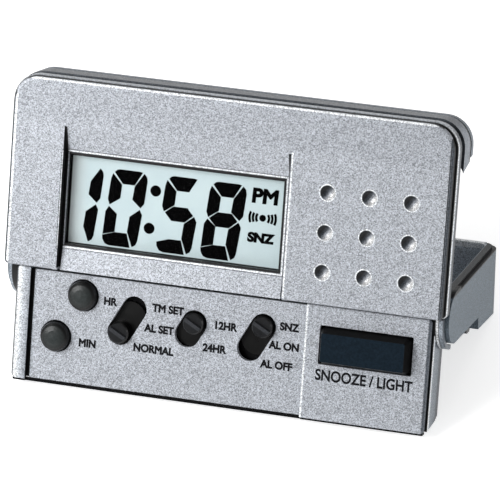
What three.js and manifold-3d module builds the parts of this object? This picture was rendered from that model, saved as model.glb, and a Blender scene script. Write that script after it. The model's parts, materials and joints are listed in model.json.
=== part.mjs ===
// A folding travel alarm clock, standing open: a display case with a control panel under it, and a
// tray-shaped stand that is hinged behind the line where the two meet and swings up over the back.
//
// Case coordinates, in millimetres: x to the right, n from the front face towards the back, and u up
// along the face, with u = 0 where display and controls meet. They are the local X, Y and Z of the
// case group, which leans back. The stand has a group of its own on the hinge axis: v runs from the
// axis to the far end and w up, as its local Y and Z. +Z is up, and the clock rests on z = 0.

import * as THREE from "three";
import { mergeVertices } from "three/addons/utils/BufferGeometryUtils.js";
import Module from "manifold-3d";

const wasm = await Module();
wasm.setup();

// ---- Driving dimensions ----

const GAP = 0.3; // between parts that touch or slip past each other
const INNER_GAP = 0.2; // between parts stacked inside the case
const WALL = 1.3;

const CASE_WIDTH = 100.5;
const UPPER_HEIGHT = 42.2;
const LOWER_HEIGHT = 25.6;
const LOWER_INSET = 2.85; // the lower case is this much narrower on each side
const WELL_INSET = 4.25; // and the raised back between the stand's arms this much
const TOP_CORNER = 5.8;
const SMALL_CORNER = 1;
const LOWER_CORNER = 1.1;
const EDGE_ROUNDING = 0.8;
const SEAM_INSET = 0.55;

const BEZEL_THICKNESS = 1.6;
const BEZEL_SIDE_MARGIN = 0.5; // the bezel stops this far inside the case outline
const BEZEL_TOP_MARGIN = 0.15;
const BEZEL_SEAM = 1.1; // depth at which the bezel's rounded rim ends
const FRAME_FRONT = 1.8;
const FRAME_ROUNDING = 0.45;
const COVER_DEPTH = 2.3; // from the front of a rear cover's wall to its outer face
const LEDGE_BACK = 13.2;
const LEDGE_PROUD = 0.25;
const LEDGE_GROOVE = 1.4; // width of the shadow groove between flange and ledge
const LEDGE_COVER_SEAM = 0.6;
const LEDGE_FILLET = 4;
const LEDGE_RISE = 0.38; // of the ledge's ends, for each millimetre towards the back
const LEDGE_END_U = 32.3;

const DISPLAY_LEFT = -36.7;
const DISPLAY_WIDTH = 49;
const DISPLAY_BOTTOM = 5.8;
const DISPLAY_TOP = 25.6;
const RECESS_LEFT_MARGIN = 0.8;
const RECESS_RIGHT_MARGIN = 1.7;
const RECESS_TOP = 32.2;
const RECESS_TOP_DEPTH = 1.9;
const RECESS_BOTTOM_DEPTH = 0.9;
const RECESS_WALL = 1.1;
const TRENCH_WIDTH = 0.6;
const TRENCH_DEPTH = 0.6;
const WINDOW_RIM = 0.35;
const LENS_THICKNESS = 0.5;
const GLASS_THICKNESS = 0.8;
const GLASS_MARGIN = 1.3;
const GUIDE_THICKNESS = 0.7;

const DIMPLE_COLUMNS = 3;
const DIMPLE_ROWS = 3;
const DIMPLE_SHARE = 0.635; // their middle, as a share of the case's half width
const DIMPLE_U = 15.85;
const DIMPLE_PITCH_SHARE = 0.185;
const DIMPLE_PITCH_U = 8.65;
const DIMPLE_RADIUS = 1.65;
const DIMPLE_DEPTH = 0.8;

const PANEL_FRONT = 1.8;
const PANEL_SINK = 0.8;
const PANEL_SKIN = 1.1;
const PANEL_SEAM = 2.5;
const LOWER_FRONT = 3.8;
const SINK_LEFT_SHARE = -0.926; // shares of the lower case's half width
const SINK_RIGHT_SHARE = 0.407;
const GROOVE_WIDTH = 0.8;
const GROOVE_DEPTH = 1.6;

const BUTTON_RADIUS = 3.3;
const BUTTON_TOP = 0.5;
const BUTTON_DOME = 1.3;
const BUTTON_TRAVEL = 0.8;
const HOUR_SHARE = -0.669;
const HOUR_U = -5.3;
const MINUTE_SHARE = -0.79;
const MINUTE_U = -15.1;

const SNOOZE_LEFT_SHARE = 0.477;
const SNOOZE_WIDTH_SHARE = 0.441;
const SNOOZE_TOP = -4.6;
const SNOOZE_HEIGHT = 8.6;
const SNOOZE_RISE = 2.8; // of its face above the panel
const SNOOZE_DRAFT = 0.95;
const SNOOZE_TRAVEL = 1.2;
const FLANGE_OVERLAP = 0.7;
const FLANGE_THICKNESS = 0.5;

const SLOT_ANGLE = 61.2;
const SLOT_WIDTH = 5.7;
const KNOB_RADIUS = 2.35;
const KNOB_TOP = 0.6;
const KNOB_RIDGE = 0.7;
const TIME_SET_TRAVEL = 6.3;
const HOUR_FORMAT_TRAVEL = 3.15;
const ALARM_TRAVEL = 5.9;

const HINGE_N = 10.4;
const HINGE_U = -0.66;
const HINGE_PIN_RADIUS = 0.9;
const PIN_SEAT = 3; // depth of the pin's hole in the lower case
const BOSS_RADIUS = 1.9;
const HINGE_CLEARANCE = 0.08;
const OPEN_ANGLE = 8.36;
const ARM_RADIUS = 5.9;
const SHROUD_CLEARANCE = 0.45;
const SHROUD_THICKNESS = 0.95;
const SHROUD_WIDTH = 2.2;

const STAND_LENGTH = 33.4;
const STAND_ARM = 2.4; // thickness of its side walls
const STAND_WALL = 1.7;
const STAND_FLOOR = 1.2;
const STAND_STEP = 18.1;
const STAND_NEAR_DROP = 0.5; // how much deeper the shallow part is at the step than at the hinge
const STAND_STEP_DEPTH = 9.2;
const STAND_FAR_DEPTH = 9.8;
const STAND_CORNER = 2.8;
const STAND_EDGE = 0.6; // rounding of the far wall's rim
const STAND_LAND = 0.8;
const REBATE_WIDTH = 0.9; // the step round the outside of the stand's rim
const REBATE_DEPTH = 0.6;
const PAD_LENGTH = 7.5;
const PAD_WIDTH = 2.6;
const PAD_HEIGHT = 1.3;

const BOTTOM_SLOPE = 11.2; // of the underside against the case's own axes
const FOOT_LAND = 1.8;

const CELL_RADIUS = 5.2;
const CELL_LENGTH = 43.7;
const CELL_NUB_RADIUS = 1.9;
const CELL_NUB = 0.8;
const CELL_U = 24;
const CELL_N = 11;
const DOOR_CLEARANCE = 0.35;
const DOOR_WALL = 0.95;
const DOOR_END_WALL = 1.2;
const DOOR_TAB = 6;
const CONTACT_ROOM = 3.45; // at each end of the cell, for a spring or a leaf

const BOARD_THICKNESS = 1;
const BOARD_STANDOFF = 0.6; // behind the light guide
const BOARD_HOLE = 1.2;
const COMPONENT_ROOM = 2.9; // between the main board and the rear cover
const CHIP_RADIUS = 5;
const CHIP_HEIGHT = 1.4;
const CHIP_PLACE = { x: -16, u: 9 };
const CRYSTAL_RADIUS = 1;
const CRYSTAL_LENGTH = 7;
const CRYSTAL_PLACE = { x: 7.5, u: 6.5 };
const BUZZER_RADIUS = 12;
const BUZZER_CERAMIC_RADIUS = 9;
const BUZZER_THICKNESS = 0.25;
const RIBBON_WIDTH = 16;
const DOME_RADIUS = 4.6;
const SCREW_RADIUS = 0.9;
const SCREW_HEAD_RADIUS = 1.7;
const SCREW_HEAD = 0.9;
const SCREW_LENGTH = 5;
const TOP_SCREW_INSET = 12.25; // from the sides of the case

// ---- Sizes that follow from them ----

const HALF_WIDTH = CASE_WIDTH / 2;
const HALF_LOWER = HALF_WIDTH - LOWER_INSET;
const HALF_WELL = HALF_WIDTH - WELL_INSET;
const BEYOND = 2 * CASE_WIDTH; // cutting boxes reach this far, well past everything
const CASE_BOTTOM_U = 0.15;
const RIM_W = ARM_RADIUS;
const FLANGE_BACK = HINGE_N - ARM_RADIUS - GAP; // a gap in front of the folded stand's rim

// Display, light guide, board, components and rear cover are stacked from front to back.
const lensFront = RECESS_TOP_DEPTH + RECESS_WALL + INNER_GAP;
const glassFront = lensFront + LENS_THICKNESS + INNER_GAP;
const guideFront = glassFront + GLASS_THICKNESS + INNER_GAP;
const BOARD_FRONT = guideFront + GUIDE_THICKNESS + BOARD_STANDOFF;
const BOARD_BACK = BOARD_FRONT + BOARD_THICKNESS;
const CASE_DEPTH = BOARD_BACK + COMPONENT_ROOM + WALL;
const COVER_FRONT = CASE_DEPTH - COVER_DEPTH;
const LEDGE_FRONT = FLANGE_BACK + LEDGE_GROOVE;
const TOP_COVER_FRONT = LEDGE_BACK - COVER_DEPTH;
const LEDGE_SEAM = TOP_COVER_FRONT - LEDGE_COVER_SEAM;

const DISPLAY_RIGHT = DISPLAY_LEFT + DISPLAY_WIDTH;
const RECESS_LEFT = DISPLAY_LEFT - RECESS_LEFT_MARGIN;
const RECESS_RIGHT = DISPLAY_RIGHT + RECESS_RIGHT_MARGIN;
const DIMPLE_X = DIMPLE_SHARE * HALF_WIDTH;
const DIMPLE_PITCH_X = DIMPLE_PITCH_SHARE * HALF_WIDTH;
const SINK_LEFT = SINK_LEFT_SHARE * HALF_LOWER;
const SINK_RIGHT = SINK_RIGHT_SHARE * HALF_LOWER;
const HOUR_BUTTON = { x: HOUR_SHARE * HALF_LOWER, u: HOUR_U };
const MINUTE_BUTTON = { x: MINUTE_SHARE * HALF_LOWER, u: MINUTE_U };
const BUTTON_FLANGE = BUTTON_RADIUS + FLANGE_OVERLAP;
const SNOOZE_LEFT = SNOOZE_LEFT_SHARE * HALF_LOWER;
const SNOOZE_WIDTH = SNOOZE_WIDTH_SHARE * HALF_LOWER;
const SNOOZE_FRONT = PANEL_FRONT - SNOOZE_RISE;
const SWITCHES = [
  { name: "time_set", x: -0.482 * HALF_LOWER, u: -12.35, travel: TIME_SET_TRAVEL, rest: 0 },
  { name: "hour_format", x: -0.157 * HALF_LOWER, u: -10.85, travel: HOUR_FORMAT_TRAVEL, rest: 1 },
  { name: "alarm", x: 0.1445 * HALF_LOWER, u: -12.0, travel: ALARM_TRAVEL, rest: 1 },
];
const FOLDED_FAR_U = HINGE_U + STAND_LENGTH;
// The far rim passes a gap under the ledge as the stand swings.
const SWING_RADIUS = Math.hypot(STAND_LENGTH - STAND_EDGE, RIM_W - STAND_EDGE) + STAND_EDGE;
const LEDGE_UNDERSIDE = HINGE_U + SWING_RADIUS + GAP;
const WELL_TOP = FOLDED_FAR_U - STAND_WALL - 1.6 * GAP;
const ARM_INNER = HALF_WIDTH - STAND_ARM;

const radians = THREE.MathUtils.degToRad;
const slopeTangent = Math.tan(radians(BOTTOM_SLOPE));

// The underside climbs towards the back and ends in a land that lies flat on the table.
const FOOT_N = CASE_DEPTH - FOOT_LAND;
const bottomU = (n) => -LOWER_HEIGHT + slopeTangent * (n - PANEL_FRONT);

// A point of the stand, given along and above its own axes, in case coordinates.
function standPoint(v, w) {
  const open = radians(OPEN_ANGLE);
  return {
    n: HINGE_N + v * Math.cos(open) - w * Math.sin(open),
    u: HINGE_U + v * Math.sin(open) + w * Math.cos(open),
  };
}

// The clock leans back until the foot land and the stand's far edge lie in one plane.
const farContact = standPoint(STAND_LENGTH - STAND_LAND, -STAND_FAR_DEPTH);
const LEAN = Math.atan2(farContact.u - bottomU(FOOT_N), farContact.n - FOOT_N);

const switchDirection = {
  x: Math.cos(radians(SLOT_ANGLE)),
  u: Math.sin(radians(SLOT_ANGLE)),
};

// ---- Shapes and booleans ----

const ARC_STEPS = 5;

function solid(geometry) {
  geometry.deleteAttribute("normal");
  geometry.deleteAttribute("uv");
  const merged = mergeVertices(geometry, 1e-4);
  return new wasm.Manifold(
    new wasm.Mesh({
      numProp: 3,
      vertProperties: new Float32Array(merged.attributes.position.array),
      triVerts: new Uint32Array(merged.index.array),
    }),
  );
}

const join = (first, ...others) => others.reduce((body, other) => body.add(other), first);
const cut = (first, ...others) => others.reduce((body, other) => body.subtract(other), first);

function addMesh(group, name, body, material) {
  const data = body.getMesh();
  const geometry = new THREE.BufferGeometry();
  geometry.setAttribute("position", new THREE.BufferAttribute(data.vertProperties, 3));
  geometry.setIndex(new THREE.BufferAttribute(data.triVerts, 1));
  geometry.computeVertexNormals();
  const mesh = new THREE.Mesh(geometry, material);
  mesh.name = name;
  group.add(mesh);
  return mesh;
}

function box(x0, x1, n0, n1, u0, u1) {
  const geometry = new THREE.BoxGeometry(x1 - x0, n1 - n0, u1 - u0);
  geometry.translate((x0 + x1) / 2, (n0 + n1) / 2, (u0 + u1) / 2);
  return solid(geometry);
}

// An outline with its own radius at each corner, from the lower left one counterclockwise. A
// radius of 0 leaves the corner sharp.
function roundedOutline(x0, y0, x1, y1, radii) {
  const corners = [
    [x0, y0, 1, 1],
    [x1, y0, -1, 1],
    [x1, y1, -1, -1],
    [x0, y1, 1, -1],
  ];
  const shape = new THREE.Shape();
  corners.forEach(([x, y, inwardX, inwardY], index) => {
    const radius = radii[index];
    if (radius === 0) {
      shape[index === 0 ? "moveTo" : "lineTo"](x, y);
      return;
    }
    const start = Math.PI * (1 + index / 2);
    shape.absarc(x + inwardX * radius, y + inwardY * radius, radius, start, start + Math.PI / 2);
  });
  return shape;
}

function polygon(points) {
  return new THREE.Shape(points.map(([a, b]) => new THREE.Vector2(a, b)));
}

// An outline in x and u, pulled along n. Both of its rims can be rounded.
function slab(shape, n0, n1, rounding = 0) {
  return tapered(shape, n0, n1, rounding, rounding, 2);
}

// The same, with an inset and a depth of its own for each rim's taper.
function tapered(shape, n0, n1, inset, depth, segments = 1) {
  const geometry = new THREE.ExtrudeGeometry(shape, {
    depth: n1 - n0 - 2 * depth,
    bevelEnabled: depth > 0,
    bevelSize: inset,
    bevelThickness: depth,
    bevelOffset: -inset,
    bevelSegments: segments,
    curveSegments: ARC_STEPS,
  });
  geometry.rotateX(Math.PI / 2);
  geometry.translate(0, n1 - depth, 0);
  return solid(geometry);
}

// An outline in n and u, or in v and w, pulled along x.
function bar(shape, x0, x1, arcSteps = ARC_STEPS) {
  const geometry = new THREE.ExtrudeGeometry(shape, {
    depth: x1 - x0,
    bevelEnabled: false,
    curveSegments: arcSteps,
  });
  const alongY = new THREE.Vector3(0, 1, 0);
  const alongZ = new THREE.Vector3(0, 0, 1);
  const alongX = new THREE.Vector3(1, 0, 0);
  geometry.applyMatrix4(new THREE.Matrix4().makeBasis(alongY, alongZ, alongX));
  geometry.translate(x0, 0, 0);
  return solid(geometry);
}

function rodAlongN(x, u, radius, n0, n1, sides = 24) {
  const geometry = new THREE.CylinderGeometry(radius, radius, n1 - n0, sides);
  geometry.translate(x, (n0 + n1) / 2, u);
  return solid(geometry);
}

function rodAlongX(n, u, radius, x0, x1, sides = 24) {
  const geometry = new THREE.CylinderGeometry(radius, radius, x1 - x0, sides);
  geometry.rotateZ(Math.PI / 2);
  geometry.translate((x0 + x1) / 2, n, u);
  return solid(geometry);
}

// A profile of radius and depth, turned about an axis along n.
function turned(x, u, profile, sides = 24) {
  const points = profile.map(([radius, n]) => new THREE.Vector2(radius, n));
  const geometry = new THREE.LatheGeometry(points, sides);
  geometry.translate(x, 0, u);
  return solid(geometry);
}

function wire(points, radius, steps, sides) {
  const path = new THREE.CatmullRomCurve3(points);
  const section = new THREE.Shape().absarc(0, 0, radius, 0, 2 * Math.PI);
  return solid(
    new THREE.ExtrudeGeometry(section, {
      extrudePath: path,
      steps,
      curveSegments: sides / 2,
    }),
  );
}

// A round-ended bar outline between two points.
function stadium(x0, u0, x1, u1, radius) {
  const along = Math.atan2(u1 - u0, x1 - x0);
  const shape = new THREE.Shape();
  shape.absarc(x1, u1, radius, along - Math.PI / 2, along + Math.PI / 2);
  shape.absarc(x0, u0, radius, along + Math.PI / 2, along + 1.5 * Math.PI);
  return shape;
}

const mirrored = (build) => [-1, 1].map(build);

function finish(color, roughness, metalness) {
  return new THREE.MeshStandardMaterial({ color, roughness, metalness });
}

const silver = () => finish(0xc3c8d0, 0.42, 0.6);
const graphite = () => finish(0x727a82, 0.5, 0.3);
const blackPlastic = () => finish(0x1c1e21, 0.5, 0);
const blackRubber = () => finish(0x18191b, 0.8, 0);
const steel = () => finish(0xb9bcc0, 0.3, 1);

// ---- The display bezel ----

function recessProfile() {
  const rimTop = DISPLAY_TOP + WINDOW_RIM;
  const rimBottom = DISPLAY_BOTTOM - WINDOW_RIM;
  return [
    [0, RECESS_TOP],
    [RECESS_TOP_DEPTH, rimTop],
    [RECESS_TOP_DEPTH, rimBottom],
    [RECESS_BOTTOM_DEPTH, -1],
  ];
}

function buildBezel() {
  const panBottom = CASE_BOTTOM_U + WALL + GAP;
  const side = HALF_WIDTH - BEZEL_SIDE_MARGIN;
  const top = UPPER_HEIGHT - BEZEL_TOP_MARGIN;
  const outline = roundedOutline(-side, 0, side, top, [
    SMALL_CORNER,
    SMALL_CORNER,
    TOP_CORNER,
    TOP_CORNER,
  ]);
  const rounded = slab(outline, 0, 2 * EDGE_ROUNDING + 1, EDGE_ROUNDING);
  const face = cut(rounded, box(-BEYOND, BEYOND, BEZEL_SEAM, BEYOND, -BEYOND, BEYOND));
  const lipSide = side - SEAM_INSET;
  const lipTop = top - SEAM_INSET;
  const lipRadius = TOP_CORNER - SEAM_INSET;
  const lip = slab(
    roundedOutline(-lipSide, SEAM_INSET, lipSide, lipTop, [0, 0, lipRadius, lipRadius]),
    BEZEL_SEAM - 0.1,
    FRAME_FRONT - GAP,
  );
  const plateSide = HALF_WIDTH - WALL - GAP;
  const plateRadius = TOP_CORNER - WALL;
  const plate = slab(
    roundedOutline(-plateSide, panBottom, plateSide, UPPER_HEIGHT - WALL - GAP, [
      0,
      0,
      plateRadius,
      plateRadius,
    ]),
    BEZEL_SEAM,
    BEZEL_THICKNESS,
  );

  const surface = recessProfile();
  const backing = surface.map(([n, u]) => [n + RECESS_WALL, u]);
  const pan = cut(
    bar(
      polygon([[0.5, RECESS_TOP + RECESS_WALL], ...backing, [0.5, -1]]),
      RECESS_LEFT - RECESS_WALL,
      RECESS_RIGHT + RECESS_WALL,
    ),
    box(-BEYOND, BEYOND, -BEYOND, BEYOND, -BEYOND, 0),
  );
  const recess = bar(polygon([[-1, RECESS_TOP], ...surface, [-1, -1]]), RECESS_LEFT, RECESS_RIGHT);
  const deeper = surface.map(([n, u]) => [n + TRENCH_DEPTH, u]);
  const trenchShape = polygon([[-1, RECESS_TOP], [0, RECESS_TOP], ...deeper.slice(1), [-1, -1]]);
  const trenches = [
    bar(trenchShape, RECESS_LEFT, RECESS_LEFT + TRENCH_WIDTH),
    bar(trenchShape, RECESS_RIGHT - TRENCH_WIDTH, RECESS_RIGHT),
  ];
  const window = box(DISPLAY_LEFT, DISPLAY_RIGHT, -1, 9, DISPLAY_BOTTOM, DISPLAY_TOP);

  const curvature = (DIMPLE_RADIUS ** 2 + DIMPLE_DEPTH ** 2) / (2 * DIMPLE_DEPTH);
  const dimples = [];
  for (let column = 0; column < DIMPLE_COLUMNS; column += 1) {
    for (let row = 0; row < DIMPLE_ROWS; row += 1) {
      const ball = new THREE.SphereGeometry(curvature, 16, 12);
      ball.translate(
        DIMPLE_X + (column - (DIMPLE_COLUMNS - 1) / 2) * DIMPLE_PITCH_X,
        DIMPLE_DEPTH - curvature,
        DIMPLE_U + (row - (DIMPLE_ROWS - 1) / 2) * DIMPLE_PITCH_U,
      );
      dimples.push(solid(ball));
    }
  }
  return cut(join(face, lip, plate, pan), recess, ...trenches, window, ...dimples);
}

// ---- The moulded frame: perimeter flange, rear well, top ledge, lower case, hinge shrouds ----

function caseOutline(inset, bottom) {
  const side = HALF_WIDTH - inset;
  const radius = TOP_CORNER - inset;
  return roundedOutline(-side, bottom, side, UPPER_HEIGHT - inset, [
    SMALL_CORNER,
    SMALL_CORNER,
    radius,
    radius,
  ]);
}

// The lower case seen from the side, shrunk by an inset, with its land on the table.
function lowerSection(inset, front, top) {
  const back = CASE_DEPTH - inset;
  const land = FOOT_N - inset / 2;
  const climb = Math.tan(LEAN) * (back - land);
  return polygon([
    [front, bottomU(front) + inset],
    [land, bottomU(land) + inset],
    [back, bottomU(land) + inset + climb],
    [back, top],
    [front, top],
  ]);
}

// What is taken away under the ledge. The middle clears the folded stand's far rim, a gap away all
// round. The ends run into the flange in a larger fillet, outside the stand's rounded corners.
function underLedge() {
  const nest = new THREE.Shape();
  const nestRadius = STAND_EDGE + GAP;
  const nestN = FLANGE_BACK + nestRadius;
  const nestU = LEDGE_UNDERSIDE - nestRadius;
  nest.moveTo(FLANGE_BACK, -BEYOND);
  nest.lineTo(FLANGE_BACK, nestU);
  nest.absarc(nestN, nestU, nestRadius, Math.PI, Math.PI / 2, true);
  nest.lineTo(BEYOND, LEDGE_UNDERSIDE);
  nest.lineTo(BEYOND, -BEYOND);
  const side = HALF_WIDTH + 1.3 * GAP;
  const corner = STAND_CORNER + 1.3 * GAP;
  const plan = roundedOutline(-side, -BEYOND, side, LEDGE_UNDERSIDE, [0, 0, corner, corner]);
  const middle = bar(nest, -BEYOND, BEYOND).intersect(slab(plan, 0, BEYOND));

  const ends = new THREE.Shape();
  const filletN = FLANGE_BACK + LEDGE_FILLET;
  const filletU = LEDGE_END_U - LEDGE_FILLET * Math.hypot(1, LEDGE_RISE);
  ends.moveTo(FLANGE_BACK, -BEYOND);
  ends.lineTo(FLANGE_BACK, filletU);
  ends.absarc(filletN, filletU, LEDGE_FILLET, Math.PI, Math.PI / 2 + Math.atan(LEDGE_RISE), true);
  ends.lineTo(2 * LEDGE_BACK, LEDGE_END_U + LEDGE_RISE * (2 * LEDGE_BACK - filletN));
  ends.lineTo(2 * LEDGE_BACK, -BEYOND);
  return join(middle, bar(ends, -BEYOND, BEYOND));
}

function hingeShroud(side) {
  const inner = ARM_RADIUS + SHROUD_CLEARANCE;
  const ring = new THREE.Shape().absarc(HINGE_N, HINGE_U, inner + SHROUD_THICKNESS, 0, 2 * Math.PI);
  ring.holes.push(new THREE.Path().absarc(HINGE_N, HINGE_U, inner, 0, 2 * Math.PI, true));
  const inside = HALF_LOWER - 0.2;
  const start = side > 0 ? inside : -inside - SHROUD_WIDTH;
  const full = bar(ring, start, start + SHROUD_WIDTH, 8 * ARC_STEPS);
  return cut(
    full,
    box(-BEYOND, BEYOND, HINGE_N + GAP, BEYOND, -BEYOND, BEYOND),
    box(-BEYOND, BEYOND, -BEYOND, BEYOND, CASE_BOTTOM_U + GAP, BEYOND),
  );
}

// A round boss for each hinge pin, cut away where the rear cover's lower edge passes.
function hingeBoss(side) {
  const outer = side * HALF_LOWER;
  const inner = side * (HALF_LOWER - PIN_SEAT);
  const round = rodAlongX(HINGE_N, HINGE_U, BOSS_RADIUS, Math.min(inner, outer), Math.max(inner, outer));
  const coverSide = HALF_WELL + GAP;
  return cut(
    round,
    box(-coverSide, coverSide, -BEYOND, BEYOND, CASE_BOTTOM_U, BEYOND),
    box(-coverSide, coverSide, CASE_DEPTH, BEYOND, -BEYOND, BEYOND),
  );
}

// A shelf on each side wall with a peg that a circuit board sits on.
function boardShelf({ x, u }, outerX) {
  const reach = Math.sign(x) * 1.8;
  const near = x - reach;
  const back = BOARD_FRONT - INNER_GAP;
  return join(
    box(Math.min(near, outerX), Math.max(near, outerX), back - 1.1, back, u - 1.6, u + 1.6),
    rodAlongN(x, u, BOARD_HOLE - 0.2, back - 0.5, BOARD_BACK + 0.6, 12),
  );
}

function screwPlaces() {
  const x = HALF_WELL - WALL - 1.6;
  return [
    { x: -x, u: 4.2 },
    { x, u: 4.2 },
    { x: -x, u: WELL_TOP - 4 },
    { x, u: WELL_TOP - 4 },
  ];
}

function topScrewPlaces() {
  const u = (LEDGE_UNDERSIDE + UPPER_HEIGHT) / 2;
  return mirrored((side) => ({ x: side * (HALF_WIDTH - TOP_SCREW_INSET), u }));
}

const pilotHoles = (places, back) =>
  places.map(({ x, u }) => rodAlongN(x, u, SCREW_RADIUS + 0.15, back - SCREW_LENGTH - 1.2, back, 8));

function buildFrame() {
  const flange = cut(
    slab(caseOutline(0, CASE_BOTTOM_U), FRAME_FRONT, CASE_DEPTH, FRAME_ROUNDING),
    box(-BEYOND, BEYOND, FLANGE_BACK, BEYOND, -BEYOND, BEYOND),
  );
  const ledge = cut(
    join(
      slab(caseOutline(-LEDGE_PROUD, CASE_BOTTOM_U), LEDGE_FRONT, LEDGE_SEAM),
      slab(caseOutline(SEAM_INSET, CASE_BOTTOM_U), FLANGE_BACK - 0.1, TOP_COVER_FRONT - GAP),
    ),
    underLedge(),
  );
  const well = box(-HALF_WELL, HALF_WELL, 3, COVER_FRONT - GAP, CASE_BOTTOM_U, WELL_TOP);
  const lower = bar(lowerSection(0, LOWER_FRONT, CASE_BOTTOM_U + 0.1), -HALF_LOWER, HALF_LOWER);
  const outside = join(flange, ledge, well, lower, ...mirrored(hingeShroud));

  const flangeCavity = slab(
    roundedOutline(
      -HALF_WIDTH + WALL,
      CASE_BOTTOM_U + WALL,
      HALF_WIDTH - WALL,
      UPPER_HEIGHT - WALL,
      [0, 0, TOP_CORNER - WALL, TOP_CORNER - WALL],
    ),
    0,
    FLANGE_BACK - WALL,
  );
  const wellCavity = box(
    -HALF_WELL + WALL,
    HALF_WELL - WALL,
    1,
    CASE_DEPTH,
    CASE_BOTTOM_U + WALL,
    WELL_TOP - WALL,
  );
  const ledgeCavity = slab(
    roundedOutline(
      -HALF_WIDTH + WALL + SEAM_INSET,
      LEDGE_UNDERSIDE + WALL + SEAM_INSET,
      HALF_WIDTH - WALL - SEAM_INSET,
      UPPER_HEIGHT - WALL - SEAM_INSET,
      [0, 0, TOP_CORNER - WALL - SEAM_INSET, TOP_CORNER - WALL - SEAM_INSET],
    ),
    1,
    LEDGE_BACK,
  );
  const lowerCavity = bar(
    lowerSection(WALL, 0, CASE_BOTTOM_U + WALL + 1),
    -HALF_LOWER + WALL,
    HALF_LOWER - WALL,
  );
  const hollow = cut(outside, flangeCavity, wellCavity, ledgeCavity, lowerCavity);

  const post = (place, back) => rodAlongN(place.x, place.u, 2, FLANGE_BACK - WALL, back - GAP, 12);
  const posts = screwPlaces().map((place) => post(place, COVER_FRONT));
  const topPosts = topScrewPlaces().map((place) => post(place, TOP_COVER_FRONT));
  const postWebs = topScrewPlaces().map(({ x }) =>
    box(x - 0.5, x + 0.5, FLANGE_BACK - WALL, LEDGE_SEAM, LEDGE_UNDERSIDE + 0.5, UPPER_HEIGHT - 0.5),
  );
  const pilots = [
    ...pilotHoles(screwPlaces(), CASE_DEPTH),
    ...pilotHoles(topScrewPlaces(), LEDGE_BACK),
  ];
  const pinHoles = mirrored((side) =>
    rodAlongX(
      HINGE_N,
      HINGE_U,
      HINGE_PIN_RADIUS + HINGE_CLEARANCE,
      side > 0 ? HALF_LOWER - PIN_SEAT + 0.4 : -HALF_LOWER - 1,
      side > 0 ? HALF_LOWER + 1 : -HALF_LOWER + PIN_SEAT - 0.4,
    ),
  );
  const shelves = [
    ...mainBoardHoles().map((place) => boardShelf(place, Math.sign(place.x) * (HALF_WELL - WALL / 2))),
    ...controlBoardHoles().map((place) => boardShelf(place, Math.sign(place.x) * (HALF_LOWER - WALL / 2))),
  ];
  const bosses = mirrored(hingeBoss);
  const inside = join(hollow, ...bosses, ...posts, ...topPosts, ...postWebs, ...shelves);
  return cut(inside, ...pilots, ...pinHoles);
}

// ---- Rear covers ----

function screwHoles(places, back) {
  return places.flatMap(({ x, u }) => [
    rodAlongN(x, u, SCREW_RADIUS + 0.25, 0, BEYOND, 8),
    rodAlongN(x, u, SCREW_HEAD_RADIUS + 0.25, back - SCREW_HEAD - 0.3, BEYOND, 12),
  ]);
}

// The pads that the screws pull against, a little inside the outer face.
const screwPads = (places, back) =>
  places.map(({ x, u }) => rodAlongN(x, u, 2.4, back - COVER_DEPTH, back - 0.1, 12));

const doorHalf = CELL_LENGTH / 2 + CONTACT_ROOM + DOOR_END_WALL;
const doorInner = CELL_RADIUS + DOOR_CLEARANCE;
const doorOuter = doorInner + DOOR_WALL;
const doorFoot = CASE_DEPTH + GAP;
// Half of the opening that the cell passes through, where it crosses the back of the case.
const openingHalf = Math.sqrt(doorInner ** 2 - (CASE_DEPTH - CELL_N) ** 2) - 0.3;

function buildRearCover() {
  const outline = roundedOutline(-HALF_WELL, CASE_BOTTOM_U + GAP, HALF_WELL, WELL_TOP, [1, 1, 1, 1]);
  const rounded = slab(outline, COVER_FRONT - 2, CASE_DEPTH, EDGE_ROUNDING);
  const shell = cut(rounded, box(-BEYOND, BEYOND, -BEYOND, COVER_FRONT, -BEYOND, BEYOND));
  const inside = box(
    -HALF_WELL + WALL,
    HALF_WELL - WALL,
    0,
    CASE_DEPTH - WALL,
    CASE_BOTTOM_U + GAP + WALL,
    WELL_TOP - WALL,
  );
  const pads = screwPads(screwPlaces(), CASE_DEPTH);
  const ends = mirrored((side) => {
    const wall = side * (doorHalf - DOOR_END_WALL);
    return box(
      Math.min(wall, side * doorHalf),
      Math.max(wall, side * doorHalf),
      BOARD_BACK + 1.2,
      CASE_DEPTH - 0.1,
      CELL_U - openingHalf - 1,
      CELL_U + openingHalf - 0.2,
    );
  });
  const opening = box(
    -doorHalf + DOOR_END_WALL,
    doorHalf - DOOR_END_WALL,
    0,
    CASE_DEPTH + 1,
    CELL_U - openingHalf,
    CELL_U + openingHalf,
  );
  const tabScrew = rodAlongN(doorHalf + DOOR_TAB / 2, CELL_U, SCREW_RADIUS + 0.1, 5, CASE_DEPTH + 1, 12);
  const tabBoss = rodAlongN(doorHalf + DOOR_TAB / 2, CELL_U, 2.2, CASE_DEPTH - 3.4, CASE_DEPTH - 0.1, 16);
  const hook = box(-doorHalf - 1.8, -doorHalf - 0.6, CASE_DEPTH - 3, CASE_DEPTH + 1, CELL_U - 3, CELL_U + 3);
  const body = join(cut(shell, inside), ...pads, ...ends, tabBoss);
  return cut(body, ...screwHoles(screwPlaces(), CASE_DEPTH), opening, tabScrew, hook);
}

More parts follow.
